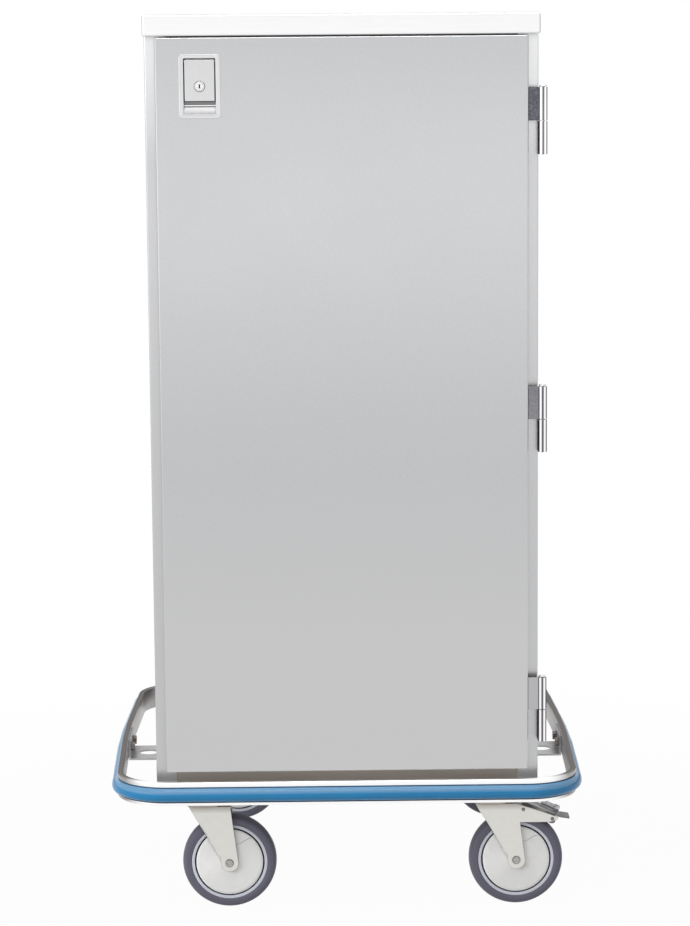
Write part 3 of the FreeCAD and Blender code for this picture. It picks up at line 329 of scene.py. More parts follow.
# Painted highlight: the latch's ledge is near white.
ledge_highlight_steel = brushed("ledge_highlight_steel", (0.95, 0.945, 0.94), 0.34, LEVEL)
plate_steel = brushed("plate_steel", (0.43, 0.43, 0.435), 0.41, LEVEL)
pedal_steel = brushed("pedal_steel", (0.42, 0.42, 0.425), 0.41, LEVEL,
                      fade=("Z", 0.152, 0.148, (0.20, 0.195, 0.205)))
# Painted reflections: the knuckles are dark where they face ahead, behind and to the sides.
barrel_steel = bar_with_painted_reflections("barrel_steel", (0.97, 0.96, 0.97), (0.09, 0.08, 0.10), 0.12)
hinge_steel = brushed("hinge_steel", (0.56, 0.56, 0.565), 0.34, LEVEL)
# Painted shade: the door's hinge leaves are dark up high and turn paler lower down.
leaf_steel = brushed("leaf_steel", (0.12, 0.12, 0.14), 0.40, SATIN, tint=0.4,
                     fade=("Z", 1.0, 0.45, (0.46, 0.46, 0.47)))
# Painted shade: the tray turns dark inside its hollow.
latch_steel = brushed("latch_steel", (0.64, 0.64, 0.648), 0.30, UPRIGHT,
                      fade=("Y", -0.3535, -0.352, (0.25, 0.25, 0.255)))
paddle_steel = brushed("paddle_steel", (0.61, 0.61, 0.615), 0.30, UPRIGHT)
slope_steel = brushed("slope_steel", (0.31, 0.31, 0.315), 0.42, UPRIGHT)
# Painted shade: the lock turns black deep in its key slot.
lock_metal = brushed("lock_metal", (0.74, 0.74, 0.75), 0.2, EVEN,
                     fade=("Y", -0.3554, -0.3545, (0.03, 0.03, 0.04)))
fastener_steel = brushed("fastener_steel", (0.24, 0.215, 0.20), 0.36, EVEN)
# Painted reflection: the dark line drawn across each thread guard.
reflection_line_steel = brushed("reflection_line_steel", (0.40, 0.40, 0.425), 0.28, EVEN)
axle_steel = brushed("axle_steel", (0.42, 0.415, 0.41), 0.22, EVEN)
# Painted shade: the brake screws' edges are darker, which outlines the nuts.
thread_steel = brushed("thread_steel", (0.50, 0.50, 0.52), 0.24, EVEN, edge_wear_and_light=0.3)
bright_steel = brushed("bright_steel", (0.74, 0.735, 0.73), 0.22, EVEN)
# Painted shade: the forks' edges are darker, and a painted shadow darkens the forks' tops and plates under
# the rail.
caster_zinc = brushed("caster_zinc", (0.695, 0.687, 0.65), 0.36, (60, 200, 200), edge=0.0012, edge_wear_and_light=0.35,
                      fade=("Z", 0.159, 0.171, (0.36, 0.335, 0.30)))
# Painted highlight: the strip's upper half is paler.
vinyl = moulded("bumper_vinyl", (0.010, 0.212, 0.465), 0.20, 700.0, 0.03, gloss=0.38,
                painted_highlight_tone=(0.12, 0.285, 0.48))
# Black rubber: real on the door's gasket; the same black fills gaps elsewhere as painted shade.
seal_and_shade_rubber = moulded("seal_rubber", (0.02, 0.02, 0.022), 0.7)
guard = moulded("guard_face", (0.90, 0.895, 0.885), 0.26, 500.0, 0.02, 0.02)
rim_skin = moulded("rim_skin", (0.66, 0.68, 0.76), 0.34, 500.0, 0.03, 0.03)
# Painted shade: the wheel's web is near black, seen through the gap round the guard.
web_painted_shade = moulded("web_painted_shade", (0.02, 0.02, 0.022), 0.5)
tread = moulded("tyre_rubber", (0.115, 0.112, 0.152), 0.5, 900.0, 0.08)
print(len(bpy.data.materials), "finishes made")


# %% [markdown]
# Dressing the CAD pieces
#
# Flat sheet-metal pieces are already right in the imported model, so they keep their solids and only take a
# finish. Pieces that bend or turn are rebuilt below.

# %% Dress the pieces that stay
def dress(material, *names):
    """Gives CAD nodes their finish."""
    for name in names:
        for slot in nodes[name].material_slots:
            slot.material = material


dress(panel_steel, "side_panel_left", "side_panel_right", "back_panel", "door_liner", "shelf_lower",
      "shelf_upper")
dress(door_steel, "door_outer_pan")
dress(cap_steel, "top_cap")
dress(shade_steel, "front_header", "shelf_pilasters", "shelf_clips", "latch_case")
dress(sill_steel, "floor_pan", "base_channel_front", "base_channel_rear")
dress(plate_steel, "bumper_bracket_left", "bumper_bracket_right")
dress(paddle_steel, "latch_bolt")
dress(lock_metal, "lock_plug")
dress(fastener_steel, "bumper_bolts", "caster_bolts", "paddle_pin")
dress(seal_and_shade_rubber, "door_gasket")
for spot in SPOTS:
    dress(caster_zinc, f"caster_plate_{spot}", f"caster_fork_{spot}")
for spot in BRAKED:
    dress(pedal_steel, f"brake_pedal_{spot}")
print("solids dressed")


# %% [markdown]
# Shapes from arrays
#
# Every new piece is a sheet of points worked out with numpy. A grid whose rows and columns both close is a
# ring, such as a tyre; a grid whose rows end gets a flat face at each end, such as a pin. One function rounds
# the corners of an outline, one carries a profile along it, one turns a profile round an axis.

# %% Helpers for shapes
MM = 0.001


def bent(corners, radii, steps=4):
    """A closed outline with round corners, and its outward directions.

    Each corner is cut back along both its sides by radius / tan(half its angle). The arc between the cuts is
    centre + radius * direction, where the direction to the first cut is turned through the corner's bend."""
    at = np.asarray(corners, float)
    back, ahead = np.roll(at, 1, 0) - at, np.roll(at, -1, 0) - at
    back /= np.linalg.norm(back, axis=1)[:, None]
    ahead /= np.linalg.norm(ahead, axis=1)[:, None]
    radii = np.broadcast_to(np.asarray(radii, float), len(at))
    half = np.arccos(np.clip((back * ahead).sum(1), -1, 1)) / 2
    sense = np.sign(back[:, 1] * ahead[:, 0] - back[:, 0] * ahead[:, 1])
    inward = (back + ahead) / np.linalg.norm(back + ahead, axis=1)[:, None]
    centre = at + inward * (radii / np.sin(half))[:, None]
    first = (at + back * (radii / np.tan(half))[:, None] - centre) / radii[:, None]
    swing = np.linspace(0, 1, steps + 1)[None] * ((np.pi - 2 * half) * sense)[:, None]
    c, s = np.cos(swing), np.sin(swing)
    arms = np.stack([first[:, :1] * c - first[:, 1:] * s, first[:, :1] * s + first[:, 1:] * c], -1)
    points = centre[:, None] + arms * radii[:, None, None]
    return points.reshape(-1, 2), (arms * sense[:, None, None]).reshape(-1, 2)


def carried(path, outward, profile):
    """A profile carried round a plan: plan point + outward * (profile's reach), at the profile's height."""
    plan = path[:, None] + outward[:, None] * profile[None, :, :1]
    high = np.broadcast_to(profile[None, :, 1:], plan.shape[:2] + (1,))
    return np.concatenate([plan, high], -1)


def turned(profile, centre, axis="y", count=96):
    """A profile of (along, radius) turned round an axis: along on the axis, radius * (cos, sin) across it."""
    swing = np.linspace(0, 2 * np.pi, count, endpoint=False)[:, None]
    along, radius = profile[None, :, 0] + 0 * swing, profile[None, :, 1]
    across, other = radius * np.cos(swing), radius * np.sin(swing)
    order = (across, along, other) if axis == "y" else (across, other, along)
    return np.stack(order, -1) + np.asarray(centre, float)


def tied(rows, cols, shut):
    """Quads that tie each point of a grid to the next column and the next row."""
    i, j = np.mgrid[0:rows if shut else rows - 1, 0:cols]
    k, n = (j + 1) % cols, (i + 1) % rows
    return np.stack([i * cols + j, i * cols + k, n * cols + k, n * cols + j], -1).reshape(-1, 4).tolist()


def ring(grid):
    """A shell whose rows and columns both close."""
    return grid.reshape(-1, 3), tied(*grid.shape[:2], True)


def capped(grid):
    """A shell whose columns close and whose first and last rows are flat faces."""
    rows, cols = grid.shape[:2]
    ends = [list(range(cols)), list(range((rows - 1) * cols, rows * cols))]
    return grid.reshape(-1, 3), tied(rows, cols, False) + ends


def stacked(outline, levels):
    """An outline of (x, y) repeated at heights: rows of the outline, one at each height."""
    flat = np.broadcast_to(outline[None], (len(levels),) + outline.shape)
    high = np.broadcast_to(np.asarray(levels, float)[:, None, None], flat.shape[:2] + (1,))
    return np.concatenate([flat, high], -1)


def piece(name, shells, finish, body, slot, *replaced, sharp=38):
    """One object from closed shells in millimetres, with outward faces, that rides on a body."""
    points = np.concatenate([shell[0] for shell in shells])
    starts = np.cumsum([0] + [len(shell[0]) for shell in shells])
    faces = [[v + int(start) for v in face] for shell, start in zip(shells, starts) for face in shell[1]]
    mesh = bpy.data.meshes.new(name)
    mesh.from_pydata((points * MM).tolist(), [], faces)
    work = bmesh.new()
    work.from_mesh(mesh)
    bmesh.ops.recalc_face_normals(work, faces=work.faces)
    work.to_mesh(mesh)
    work.free()
    mesh.shade_smooth()
    mesh.set_sharp_from_angle(angle=math.radians(sharp))
    mesh.materials.append(finish)
    made = bpy.data.objects.new(name, mesh)
    scene.collection.objects.link(made)
    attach(made, body)
    if replaced:
        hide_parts(*replaced)
    return made


# %% [markdown]
# The bumper ring
#
# A lipped steel channel runs round the base and holds a blue vinyl strip, which takes the knocks. The real
# one is roll-formed straight and bent round a former. Here the plan is an octagon with rounded corners and a
# slight bow at the sides, and the channel's section is carried along it. The strip has a D section: a
# superellipse, which is flatter in front than a circle. A black strip behind it fills the channel as painted
# shade, and shows as a thin dark line between the strip and each lip.

# %% Build the channel and its strip
RAIL_FOOT, RAIL_TOP, RAIL_DEPTH, SHEET = 192, 230, 9, 1.5
LOWER_LIP, UPPER_LIP = 5, 8
STRIP_BACK, STRIP_REACH, STRIP_MIDDLE, STRIP_HALF, STRIP_POWER = 7.2, 11.3, 209.6, 11.1, 0.9
SHADE_FILL_BACK, SHADE_FILL_FRONT, SHADE_FILL_FOOT, SHADE_FILL_TOP = 1.7, 7.3, 193.8, 227.2
plan, outward = bent(
    [(-359, -361.5), (359, -361.5), (368, -60), (368, 60),
     (359, 361.5), (-359, 361.5), (-368, 60), (-368, -60)],
    [75, 75, 300, 300, 75, 75, 300, 300], 14)
inside = RAIL_DEPTH - SHEET
section = bent(
    [(0, RAIL_FOOT), (RAIL_DEPTH, RAIL_FOOT),
     (RAIL_DEPTH, RAIL_FOOT + LOWER_LIP), (inside, RAIL_FOOT + LOWER_LIP),
     (inside, RAIL_FOOT + SHEET), (SHEET, RAIL_FOOT + SHEET),
     (SHEET, RAIL_TOP - SHEET), (inside, RAIL_TOP - SHEET),
     (inside, RAIL_TOP - UPPER_LIP), (RAIL_DEPTH, RAIL_TOP - UPPER_LIP),
     (RAIL_DEPTH, RAIL_TOP), (0, RAIL_TOP)],
    [1, 1.6, 0.6, 0.6, 0.5, 0.6, 0.6, 0.5, 0.6, 0.6, 1.6, 1])[0]
rail = piece("bumper_rail", [ring(carried(plan, outward, section))], rail_steel, "cabinet", "rail_steel",
             "bumper_channel")
swing = np.linspace(-np.pi / 2, np.pi / 2, 27)
climb = np.sin(swing)
nose = np.stack([STRIP_BACK + STRIP_REACH * np.cos(swing) ** STRIP_POWER,
                 STRIP_MIDDLE + STRIP_HALF * np.sign(climb) * np.abs(climb) ** STRIP_POWER], -1)
strip = piece("bumper_strip", [ring(carried(plan, outward, nose))], vinyl, "cabinet", "bumper_vinyl",
              "bumper_insert")
# A black strip filling the channel behind the vinyl: painted shade.
shade_fill = bent([(SHADE_FILL_BACK, SHADE_FILL_FOOT), (SHADE_FILL_FRONT, SHADE_FILL_FOOT),
             (SHADE_FILL_FRONT, SHADE_FILL_TOP), (SHADE_FILL_BACK, SHADE_FILL_TOP)], 0.4)[0]
piece("bumper_shade_fill", [ring(carried(plan, outward, shade_fill))], seal_and_shade_rubber, "cabinet", "seal_rubber")
print("bumper ring of", len(rail.data.vertices), "and", len(strip.data.vertices), "points")

# %% [markdown]
# The cap's corners
#
# The cap is folded from one sheet, and its four upright corners are welded and ground. The dark line at each
# end of the cap is a painted reflection: a dark strip on each corner, for the dark surroundings that the
# round corner mirrors. Each is a slice of a tube: an arc between the two faces, repeated at two heights. The
# skirt's lower edge is turned in to a small round hem, which is a thin outline carried round the cap's plan.

# %% Build the painted corner reflections and the hem
CAP_HALF, CAP_FRONT, CAP_BACK, CAP_ROUND = 306.3, -352.0, 331.3, 3.0
CORNER_REFLECTION_OUTER, CORNER_REFLECTION_INNER, CORNER_REFLECTION_LOW, CORNER_REFLECTION_HIGH = 3.06, 2.4, 1403.2, 1430.6
HEM_LOW, HEM_HIGH, HEM_DEEP, HEM_SET_BACK = 1401.8, 1404.2, 1.1, 0.1
swing = np.linspace(0.08, 0.75, 9)
spokes = np.stack([np.cos(swing), np.sin(swing)], -1)
arc = np.concatenate([CORNER_REFLECTION_OUTER * spokes, CORNER_REFLECTION_INNER * spokes[::-1]])
beside, behind, ahead = CAP_HALF - CAP_ROUND, CAP_BACK - CAP_ROUND, CAP_FRONT + CAP_ROUND
corners = [(beside, behind), (-beside, behind), (-beside, ahead), (beside, ahead)]
corner_reflections = [stacked(arc * (np.sign(x), np.sign(y)) + (x, y), [CORNER_REFLECTION_LOW, CORNER_REFLECTION_HIGH]) for x, y in corners]
# Dark strips on the cap's four corners: a painted reflection.
piece("cap_corner_reflections", [capped(grid) for grid in corner_reflections], corner_reflection_steel, "cabinet", "brushed_panel")
skirt, away_from = bent(
    [(-CAP_HALF, CAP_FRONT), (CAP_HALF, CAP_FRONT), (CAP_HALF, CAP_BACK), (-CAP_HALF, CAP_BACK)],
    CAP_ROUND, 6)
hem = bent([(-HEM_DEEP, HEM_LOW), (-HEM_SET_BACK, HEM_LOW), (-HEM_SET_BACK, HEM_HIGH), (-HEM_DEEP, HEM_HIGH)],
           [0.35, 0.35, 0.1, 0.1])[0]
piece("cap_hem", [ring(carried(skirt, away_from, hem))], cap_steel, "cabinet", "brushed_panel")
print("cap welds at", corners, "and a hem of", len(skirt) * len(hem), "points")

# %% [markdown]
# Wheels
#
# Each wheel is a moulded rim with a rubber tread on it, between two pressed thread guards that stay with the
# fork. All of them are round, so each is a profile of (along the axle, radius) turned round the axle. The
# tread's shoulder is a superellipse. The guard stops 2 mm short of the rim, and that gap is the dark ring
# that the eye sees: the web behind it is painted near black as shade. A dark line across each guard is a
# painted reflection: a small circle carried along an S, which is a smooth step, 3 t^2 - 2 t^3.

# %% Build the wheels
AXLE_RIGHT, AXLE_LEFT, AXLE_BACK, AXLE_HIGH = 273.5, -191.5, 271.0, 76.2
TREAD_HALF, TREAD_SEAT, TREAD_RISE, TREAD_POWER = 16, 65.6, 10.6, 0.72
REFLECTION_LINE_START, REFLECTION_LINE_END, REFLECTION_LINE_LOW, REFLECTION_LINE_RISE, REFLECTION_LINE_FACE, REFLECTION_LINE_RADIUS = 8.0, 34.0, 30.0, 9.0, -17.3, 0.55
STEP_START, STEP_LENGTH = 13, 20
WHEELS = {spot: np.array([AXLE_RIGHT if "right" in spot else AXLE_LEFT,
                          -AXLE_BACK if "front" in spot else AXLE_BACK, AXLE_HIGH]) for spot in SPOTS}
swing = np.linspace(0, np.pi / 2, 13)
shoulder = np.stack([TREAD_HALF * np.sin(swing) ** TREAD_POWER,
                     TREAD_SEAT + TREAD_RISE * np.cos(swing) ** TREAD_POWER], -1)
wall = np.array([(15.7, 63.4), (15.3, 61.6), (14.6, 60.8)])
half = np.concatenate([shoulder, wall])
tyre_profile = np.concatenate([half, (half * (-1, 1))[:0:-1]])
rim_half = bent([(9, 56.6), (15.4, 56.6), (15.4, 61.2), (9, 61.2)], [0.2, 0.8, 0.3, 0.1], 3)[0]
web_half = bent([(16, 6.2), (16, 18), (4.5, 20), (4.5, 54), (12, 56.5), (12, 61), (0, 61), (0, 6.2)],
                [0.4, 1, 2, 3, 0.2, 0.1, 0.1, 0.1], 3)[0]
guard_half = bent([(20, 6.4), (20, 12), (17.8, 14), (17.3, 50), (16.2, 54.2), (13.4, 54.2), (13.4, 53.2),
                   (15.2, 53.2), (16.2, 50), (16.7, 6.4)], [0.3, 1.2, 1.5, 3, 1.6, 0.4, 0.4, 1, 2, 0.3], 3)[0]
across = np.linspace(REFLECTION_LINE_START, REFLECTION_LINE_END, 25)
rise = np.clip((across - STEP_START) / STEP_LENGTH, 0, 1)
lift = REFLECTION_LINE_LOW + REFLECTION_LINE_RISE * rise ** 2 * (3 - 2 * rise)
lean = np.gradient(lift, across)
side_way = np.stack([-lean, 0 * lean, 1 + 0 * lean], -1) / np.hypot(1, lean)[:, None]
reflection_line_path = np.stack([across, REFLECTION_LINE_FACE + 0 * lift, lift], -1)
swing = np.linspace(0, 2 * np.pi, 12, endpoint=False)[None, :, None]
reflection_line = reflection_line_path[:, None] + REFLECTION_LINE_RADIUS * (
    np.cos(swing) * side_way[:, None] + np.sin(swing) * np.array([0, 1, 0]))
for spot, centre in WHEELS.items():
    # A dark line across each guard: a painted reflection.
    piece(f"guard_reflection_lines_{spot}", [capped(reflection_line * (1, side, 1) + centre) for side in (-1, 1)], reflection_line_steel,
          f"fork_{spot}", "fastener_steel")
    piece(f"tyre_{spot}", [ring(turned(tyre_profile, centre))], tread, f"wheel_{spot}", "grey_tyre",
          f"wheel_tyre_{spot}")
    piece(f"rim_{spot}", [ring(turned(rim_half * (side, 1), centre)) for side in (-1, 1)], rim_skin,
          f"wheel_{spot}", "core_plastic", f"wheel_core_{spot}")
    # The web's near-black finish is painted shade.
    piece(f"web_{spot}", [ring(turned(web_half * (side, 1), centre)) for side in (-1, 1)], web_painted_shade,
          f"wheel_{spot}", "core_plastic")
    piece(f"guards_{spot}", [ring(turned(guard_half * (side, 1), centre)) for side in (-1, 1)], guard,
          f"fork_{spot}", "guard_plastic", f"thread_guards_{spot}")
print("wheels at", [w.tolist() for w in WHEELS.values()])

# %% [markdown]
# Axle bolts
#
# The axle is a bolt with a hexagon socket in each end. Its rows are circles as far as the socket's mouth,
# and hexagons inside: a hexagon's radius at an angle is its flat's distance / cos(angle from the flat).

# %% Build the axle bolts
swing = np.linspace(0, 2 * np.pi, 72, endpoint=False)
six = np.cos(np.pi / 6) / np.cos((swing % (np.pi / 3)) - np.pi / 6)
rows = np.array([(20, 5.5, 0), (24.9, 5.5, 0), (25.6, 5.4, 0), (25.95, 4.9, 0), (26, 3.7, 0), (25.7, 3.4, 1),
                 (23.9, 3.2, 1)])
washer = bent([(23.4, 5.4), (24.3, 5.4), (24.3, 6.9), (23.4, 6.9)], 0.25)[0]
reach = rows[:, 1:2] * (1 + rows[:, 2:] * (six[None] - 1))
bolt_end = np.stack([reach * np.cos(swing), rows[:, :1] + 0 * reach, reach * np.sin(swing)], -1)
shaft = turned(np.array([(-20.5, 6.0), (20.5, 6.0)]), (0, 0, 0), count=36).swapaxes(0, 1)
for spot, centre in WHEELS.items():
    ends = [capped(bolt_end * (1, side, 1) + centre) for side in (-1, 1)]
    piece(f"axle_bolt_{spot}", ends + [capped(shaft + centre)], axle_steel, f"fork_{spot}", "fastener_steel",
          f"caster_axle_{spot}", sharp=30)
    piece(f"axle_washers_{spot}", [ring(turned(washer * (side, 1), centre, count=48)) for side in (-1, 1)],
          fastener_steel, f"fork_{spot}", "fastener_steel")
print("axle bolts of", len(swing), "points round")

# %% [markdown]
# Brake screw and rivets
#
# Two casters lock: a pedal swings on a pin through the fork's arms, and a screw with a nut lies along the
# pedal to set how hard it grips. The thread is a row of small grooves, which is enough at this size, turned
# round the screw's own slanting line. The nut is a hexagon with its corners turned off.

# %% Build the brake screws and rivets
PEDAL_HEEL, PEDAL_TOE = (16, 97), (71.5, 71)
FALL = math.atan((PEDAL_HEEL[1] - PEDAL_TOE[1]) / (PEDAL_TOE[0] - PEDAL_HEEL[0]))
SCREW_LENGTH, THREAD_PITCH, THREAD_ROOT, THREAD_DEPTH, NUT_CORNER = 31, 2, 4.1, 0.6, 5.8
SCREW_TOP, RIVET = np.array([42.57, 0, 91.24]), (11.4, 0, 84)
down, upright = np.array([math.cos(FALL), 0, -math.sin(FALL)]), np.array([math.sin(FALL), 0, math.cos(FALL)])


def on_screw(grid):
    """Lays a shape drawn along Y on the screw's line: Y runs down the pedal, X stays across it."""
    return SCREW_TOP + grid[..., 1:2] * down + grid[..., :1] * (0, 1, 0) + grid[..., 2:] * upright


turns = np.linspace(0, SCREW_LENGTH, 94)
thread = np.stack([turns, THREAD_ROOT + THREAD_DEPTH * np.abs(2 * (turns / THREAD_PITCH % 1) - 1)], -1)
screw = on_screw(turned(thread, (0, 0, 0), count=24).swapaxes(0, 1))
rows = np.array([(22, 5.2, 0), (22.5, 5.95, 1), (30.5, 5.95, 1), (31, 5.2, 0), (31, 4.4, 0)])
reach = np.minimum(rows[:, 1:2] * (1 + rows[:, 2:] * (six[None] - 1)), NUT_CORNER)
nut = on_screw(np.stack([reach * np.cos(swing), rows[:, :1] + 0 * reach, reach * np.sin(swing)], -1))
head = np.array([(23.4, 3.0), (23.9, 3.0), (24.4, 2.6), (24.7, 1.6), (24.8, 0.4)])
for spot in BRAKED:
    centre = WHEELS[spot]
    piece(f"brake_screw_{spot}", [capped(screw + centre), capped(nut + centre)], thread_steel,
          f"brake_{spot}", "fastener_steel", f"brake_adjuster_{spot}", sharp=25)
    rivets = [turned(head * (side, 1), centre + RIVET, count=24).swapaxes(0, 1) for side in (-1, 1)]
    piece(f"brake_rivets_{spot}", [capped(grid) for grid in rivets], fastener_steel, f"fork_{spot}",
          "fastener_steel")
print("brake screws fall by", round(math.degrees(FALL), 1), "degrees")

# %% [markdown]
# Hinges
#
# A lift-off hinge is two leaves of thick sheet with a knuckle on each, on one pin: the upper half goes with
# the door and the lower half stays. A knuckle is a short tube, so its wall is a closed outline of (along,
# radius) turned round the pin. A leaf is a thin box whose outline has small round corners, repeated at its
# ends. Leaf and knuckle are separate pieces here, because the leaf is ground and the knuckle is polished
# with painted reflections; the door's leaves are painted darker up high as shade.

# %% Build the hinges
PIN = np.array([310.6, -345.0])
LEVELS = (338.0, 803.0, 1268.0)
KNUCKLE, BORE = 7.0, 3.6
NEAR, FAR = 0.4, 51.8


def knuckle(low, high):
    """A tube round the pin between two heights, with its rims broken.

    Two more rings, 1 mm from the rims, keep the shading of the long wall straight."""
    wall = bent([(low, BORE), (high, BORE), (high, KNUCKLE), (low, KNUCKLE)], [0.2, 0.2, 0.5, 0.5], 3)[0]
    wall = np.insert(wall, [12, 12], [(high - 1, KNUCKLE), (low + 1, KNUCKLE)], axis=0)
    return ring(turned(wall, (*PIN, 0), axis="z", count=64))


def plate(x, y, low, high):
    """A thin upright plate: an outline in plan with round corners, at a lower and an upper height."""
    outline = bent([(x[0], y[0]), (x[1], y[0]), (x[1], y[1]), (x[0], y[1])], 0.5, 3)[0] + PIN
    return capped(stacked(outline, [low, high]))


door_plates = [plate((-22.4, -6), (-4.2, -1.2), z + NEAR, z + FAR) for z in LEVELS]
frame_plates = [plate((-5.6, -2.6), (-1.5, 41.0), z - FAR, z - NEAR) for z in LEVELS]
piece("hinge_door_side", door_plates, leaf_steel, "door", "hinge_steel", "hinge_door_leaves")
piece("hinge_door_knuckles", [knuckle(z + NEAR, z + FAR) for z in LEVELS], barrel_steel, "door",
      "hinge_steel")
piece("hinge_frame_side", frame_plates, hinge_steel, "cabinet", "hinge_steel", "hinge_frame_leaves")
piece("hinge_frame_knuckles", [knuckle(z - FAR, z - NEAR) for z in LEVELS], barrel_steel, "cabinet",
      "hinge_steel")
knob = np.array([(-51.9, 3.2), (-51.6, 3.5), (52.2, 3.5), (52.3, 5.2), (52.6, 5.5), (54.2, 5.5), (54.9, 4.9),
                 (55.2, 3.6), (55.3, 0.6)])
pins = [turned(knob, (*PIN, z), axis="z", count=40).swapaxes(0, 1) for z in LEVELS]
piece("hinge_pin_set", [capped(grid) for grid in pins], bright_steel, body_of(nodes["hinge_pins"])[0],
      "hinge_steel", "hinge_pins")
print("hinges at", LEVELS)

# %% [markdown]
# The paddle latch
#
# The latch is a drawn steel tray with a flat rim, a paddle that pivots at its top, and a sloped sill that
# leads a finger under the paddle's lower edge. The tray is a stack of rounded rectangles, each with its own
# half width, half height, corner and depth: from its back, over the rim, and down into the hollow. The paddle
# has a bore for the lock, and its last rows are that circle, so that the key slot stays deep; its darkness
# and the tray's darker hollow are painted shade. A black frame behind the paddle fills the gap all round as
# painted shade, and a ledge painted near white as a highlight and a ramp lead the finger in.

# %% Build the tray, the paddle and the sill
LATCH = np.array([-219.0, -352.0, 1324.6])
LOCK_BORE = 7.7


def loops(rows):
    """Rounded rectangles: each row of (half width, half height, corner, middle height, depth) is one loop."""
    grids = [bent([(-a, -b), (a, -b), (a, b), (-a, b)], r, 6)[0] + (0, z) for a, b, r, z, y in rows]
    depth = np.array([row[4] for row in rows], float)[:, None] + np.zeros(len(grids[0]))
    flat = np.stack(grids)
    return np.stack([flat[..., 0], depth, flat[..., 1]], -1) + LATCH


tray = loops([
    (26.1, 43.8, 2.6, 0.3, 17.0), (26.1, 43.8, 2.6, 0.3, 0.1), (32.0, 49.0, 6.0, 0, 0.05),
    (32.0, 49.0, 6.0, 0, -1.3), (31.85, 48.85, 5.9, 0, -1.75), (31.5, 48.5, 5.7, 0, -1.97),
    (30.8, 47.8, 5.2, 0, -2.0), (25.6, 43.3, 2.3, 0.3, -2.0), (25.0, 42.7, 1.9, 0.3, -1.8),
    (24.7, 42.4, 1.7, 0.3, -1.2), (24.6, 42.3, 1.6, 0.3, 0.0), (24.6, 42.3, 1.6, 0.3, 15.5)])
piece("latch_tray", [capped(tray)], latch_steel, "door", "latch_steel", "latch_bezel")
leaf = loops([
    (22.6, 31.3, 1.2, 9.25, 0.2), (23.0, 31.7, 1.4, 9.25, -0.2), (23.0, 31.7, 1.4, 9.25, -1.3),
    (22.8, 31.5, 1.3, 9.25, -1.8), (22.3, 31.0, 1.1, 9.25, -2.0), (21.8, 30.5, 0.9, 9.25, -2.0)])
round_lock = np.arctan2(leaf[-1, :, 2] - LATCH[2], leaf[-1, :, 0] - LATCH[0])
bore = LOCK_BORE * np.stack([np.cos(round_lock), 0 * round_lock, np.sin(round_lock)], -1) + LATCH
leaf = np.concatenate([leaf, [bore + (0, -2.0, 0), bore + (0, 0.2, 0)]])
lip = loops([(22.8, 1.0, 0.4, -21.4, 4.0), (22.8, 1.0, 0.4, -21.4, -1.5)])
piece("latch_paddle_skin", [ring(leaf), capped(lip)], paddle_steel, "paddle", "latch_steel", "latch_paddle")
# A black frame behind the paddle fills the gap round it: painted shade.
shade_frame_rows = loops([
    (24.1, 32.8, 1.6, 9.25, 1.2), (24.1, 32.8, 1.6, 9.25, 0.25), (20.0, 28.7, 1.0, 9.25, 0.25),
    (20.0, 28.7, 1.0, 9.25, 1.2)])
piece("latch_paddle_shade_frame", [ring(shade_frame_rows)], seal_and_shade_rubber, "paddle", "seal_rubber")
ramp = bent([(-1.4, -42.2), (14.5, -42.2), (14.5, -30.9), (4.6, -30.9)], [0.3, 0.3, 0.3, 0.4])[0]
# The ledge is finished near white as a painted highlight.
ledge = bent([(3.2, -30.2), (14.5, -30.2), (14.5, -28.3), (3.2, -28.3)], 0.3)[0]
wide = np.array([-24.55, 24.55])[:, None]
for name, shape, finish in (("latch_sill", ramp, slope_steel), ("latch_ledge", ledge, ledge_highlight_steel)):
    grid = np.stack([wide + 0 * shape[:, 0], shape[:, 0] + 0 * wide, shape[:, 1] + 0 * wide], -1)
    piece(name, [capped(grid + LATCH)], finish, "door", "latch_steel")
barrel = bent([(-3.0, 5.7), (11, 5.7), (11, 7.5), (-1.6, 7.5), (-1.6, 7.8), (-3.0, 7.8)],
              [0.3, 0.3, 0.3, 0.1, 0.1, 0.7])[0]
piece("lock_barrel", [ring(turned(barrel, LATCH, count=72))], bright_steel, "paddle", "lock_chrome",
      "lock_cylinder")
# A black ring round the lock: a painted shade outline.
shade_ring = bent([(-2.3, 7.2), (-1.5, 7.2), (-1.5, 8.6), (-2.3, 8.6)], 0.2)[0]
piece("lock_shade_ring", [ring(turned(shade_ring, LATCH, count=72))], seal_and_shade_rubber, "paddle", "seal_rubber")
print("latch built round", LATCH.tolist())


# %% [markdown]
# The studio
#
# White paper lies under and behind the cart, with a narrow soft lamp on each side at mid height, one above
# and a larger one to the left. The left lamp is two in one place: a dim one that steel mirrors, and a fill
# hidden from mirror rays, so that the steel doesn't flare from the side. A world of plain white would leave
# steel flat, so two dark cards stand behind the cart, one to each side: only metal sees them, and they draw
# its edges. The floor keeps a faint shadow near the cart and passes into white further off, so that no
# horizon shows.

# %% The white world and its cards
def background_rays(tree):
    """1 for rays that show the background: seen by the camera, in metal or through glass."""
    path = add(tree, "ShaderNodeLightPath")
    direct = maths(tree, "MAXIMUM", path.outputs["Is Camera Ray"], path.outputs["Is Glossy Ray"])
    return maths(tree, "MAXIMUM", direct, path.outputs["Is Transmission Ray"]), path.outputs["Is Camera Ray"]


world = bpy.data.worlds.new("studio")
scene.world = world
world.use_nodes = True
sky = world.node_tree
shown, seen = background_rays(sky)
look = add(sky, "ShaderNodeTexCoord")
parts = add(sky, "ShaderNodeSeparateXYZ", Vector=look.outputs["Generated"])
frontward = maths(sky, "MULTIPLY", parts.outputs["Y"], -1.0)
bearing = maths(sky, "ABSOLUTE", maths(sky, "ARCTAN2", parts.outputs["X"], frontward))


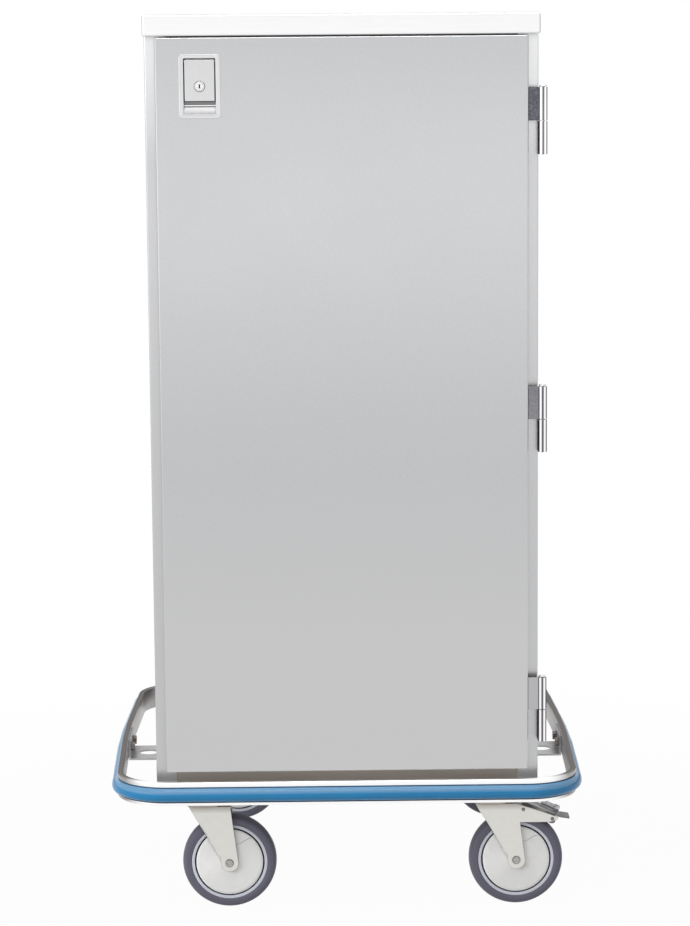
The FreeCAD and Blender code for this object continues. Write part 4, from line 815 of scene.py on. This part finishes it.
def card(start, end, soft, level):
    """The light left by dark cards between two bearings on each side, in degrees from the front."""
    marks = [math.radians(v) for v in (start - soft, start + soft, end - soft, end + soft)]
    into = spread(sky, bearing, 1.0, level, *marks[:2])
    out = spread(sky, bearing, level, 1.0, *marks[2:])
    return maths(sky, "MAXIMUM", into, out)


FILL, CARD_LEVEL = 0.42, 0.05
low_down = spread(sky, parts.outputs["Z"], 1.0, 0.0, 0.1, 0.35)
cards = spread(sky, low_down, 1.0, card(100, 165, 8, CARD_LEVEL), 0.0, 1.0)
around = spread(sky, shown, FILL, cards, 0.0, 1.0)
sky.links.new(maths(sky, "MAXIMUM", around, seen), sky.nodes["Background"].inputs["Strength"])
sky.nodes["Background"].inputs["Color"].default_value = (1, 1, 1, 1)
print("world of", FILL, "with cards at", CARD_LEVEL)

# %% [markdown]
# The floor and the lamps
#
# The floor is one large sheet of paper. Rays that show the background see it glow white, a little less so
# close to the cart, where the paper's own shading lets the shadow through.

# %% Lay the floor and hang the lamps
def lamp(name, power, where, aim, width, height):
    """A rectangular soft lamp that points at a place and doesn't show to the camera."""
    light = bpy.data.lights.new(name, "AREA")
    light.shape = "RECTANGLE"
    light.size = width
    light.size_y = height
    light.energy = power
    holder = bpy.data.objects.new(name, light)
    scene.collection.objects.link(holder)
    holder.location = where
    holder.rotation_euler = (Vector(aim) - Vector(where)).to_track_quat("-Z", "Y").to_euler()
    holder.visible_camera = False
    return holder


SIDE, CLEAR_NEAR, NEAR_EDGE, FAR_EDGE = 14.0, 0.97, 0.6, 1.6
KEY_AT, KEY_AIM, KEY_SIZE = (-3.0, -2.4, 1.7), (0.0, 0.0, 0.5), (3.0, 2.4)
SOFT_AWAY, SOFT_HIGH, SOFT_SIZE = 2.6, 1.06, (3.2, 0.5)
floor_mesh = bpy.data.meshes.new("floor")
sheet = [(-SIDE, -SIDE, 0), (SIDE, -SIDE, 0), (SIDE, SIDE, 0), (-SIDE, SIDE, 0)]
floor_mesh.from_pydata(sheet, [], [(0, 1, 2, 3)])
floor = bpy.data.objects.new("floor", floor_mesh)
scene.collection.objects.link(floor)
paper, tree, shader = fresh("paper")
shader.inputs["Base Color"].default_value = (0.5, 0.5, 0.5, 1)
shader.inputs["Roughness"].default_value = 0.9
glow = add(tree, "ShaderNodeEmission", Color=(1, 1, 1, 1), Strength=1.0)
place = add(tree, "ShaderNodeTexCoord")
away = add(tree, "ShaderNodeVectorMath", i0=place.outputs["Object"])
away.operation = "LENGTH"
clear = spread(tree, away.outputs["Value"], CLEAR_NEAR, 1.0, NEAR_EDGE, FAR_EDGE)
share = maths(tree, "MULTIPLY", background_rays(tree)[0], clear)
mix = add(tree, "ShaderNodeMixShader", i0=share, i1=shader.outputs["BSDF"], i2=glow.outputs["Emission"])
tree.links.new(mix.outputs["Shader"], tree.nodes["Material Output"].inputs["Surface"])
floor_mesh.materials.append(paper)
for name, x, y in (("front", 0, -SOFT_AWAY), ("back", 0, SOFT_AWAY),
                   ("left", -SOFT_AWAY, 0), ("right", SOFT_AWAY, 0)):
    lamp(name + "_soft", 2.4, (x, y, SOFT_HIGH), (0.0, 0.0, SOFT_HIGH), *SOFT_SIZE)
lamp("top_soft", 30, (0.0, -1.4, 3.0), (0.0, 0.0, 0.5), 3.0, 0.4)
lamp("left_key", 24, KEY_AT, KEY_AIM, *KEY_SIZE)
lamp("left_fill", 80, KEY_AT, KEY_AIM, *KEY_SIZE).visible_glossy = False
print("studio lit")
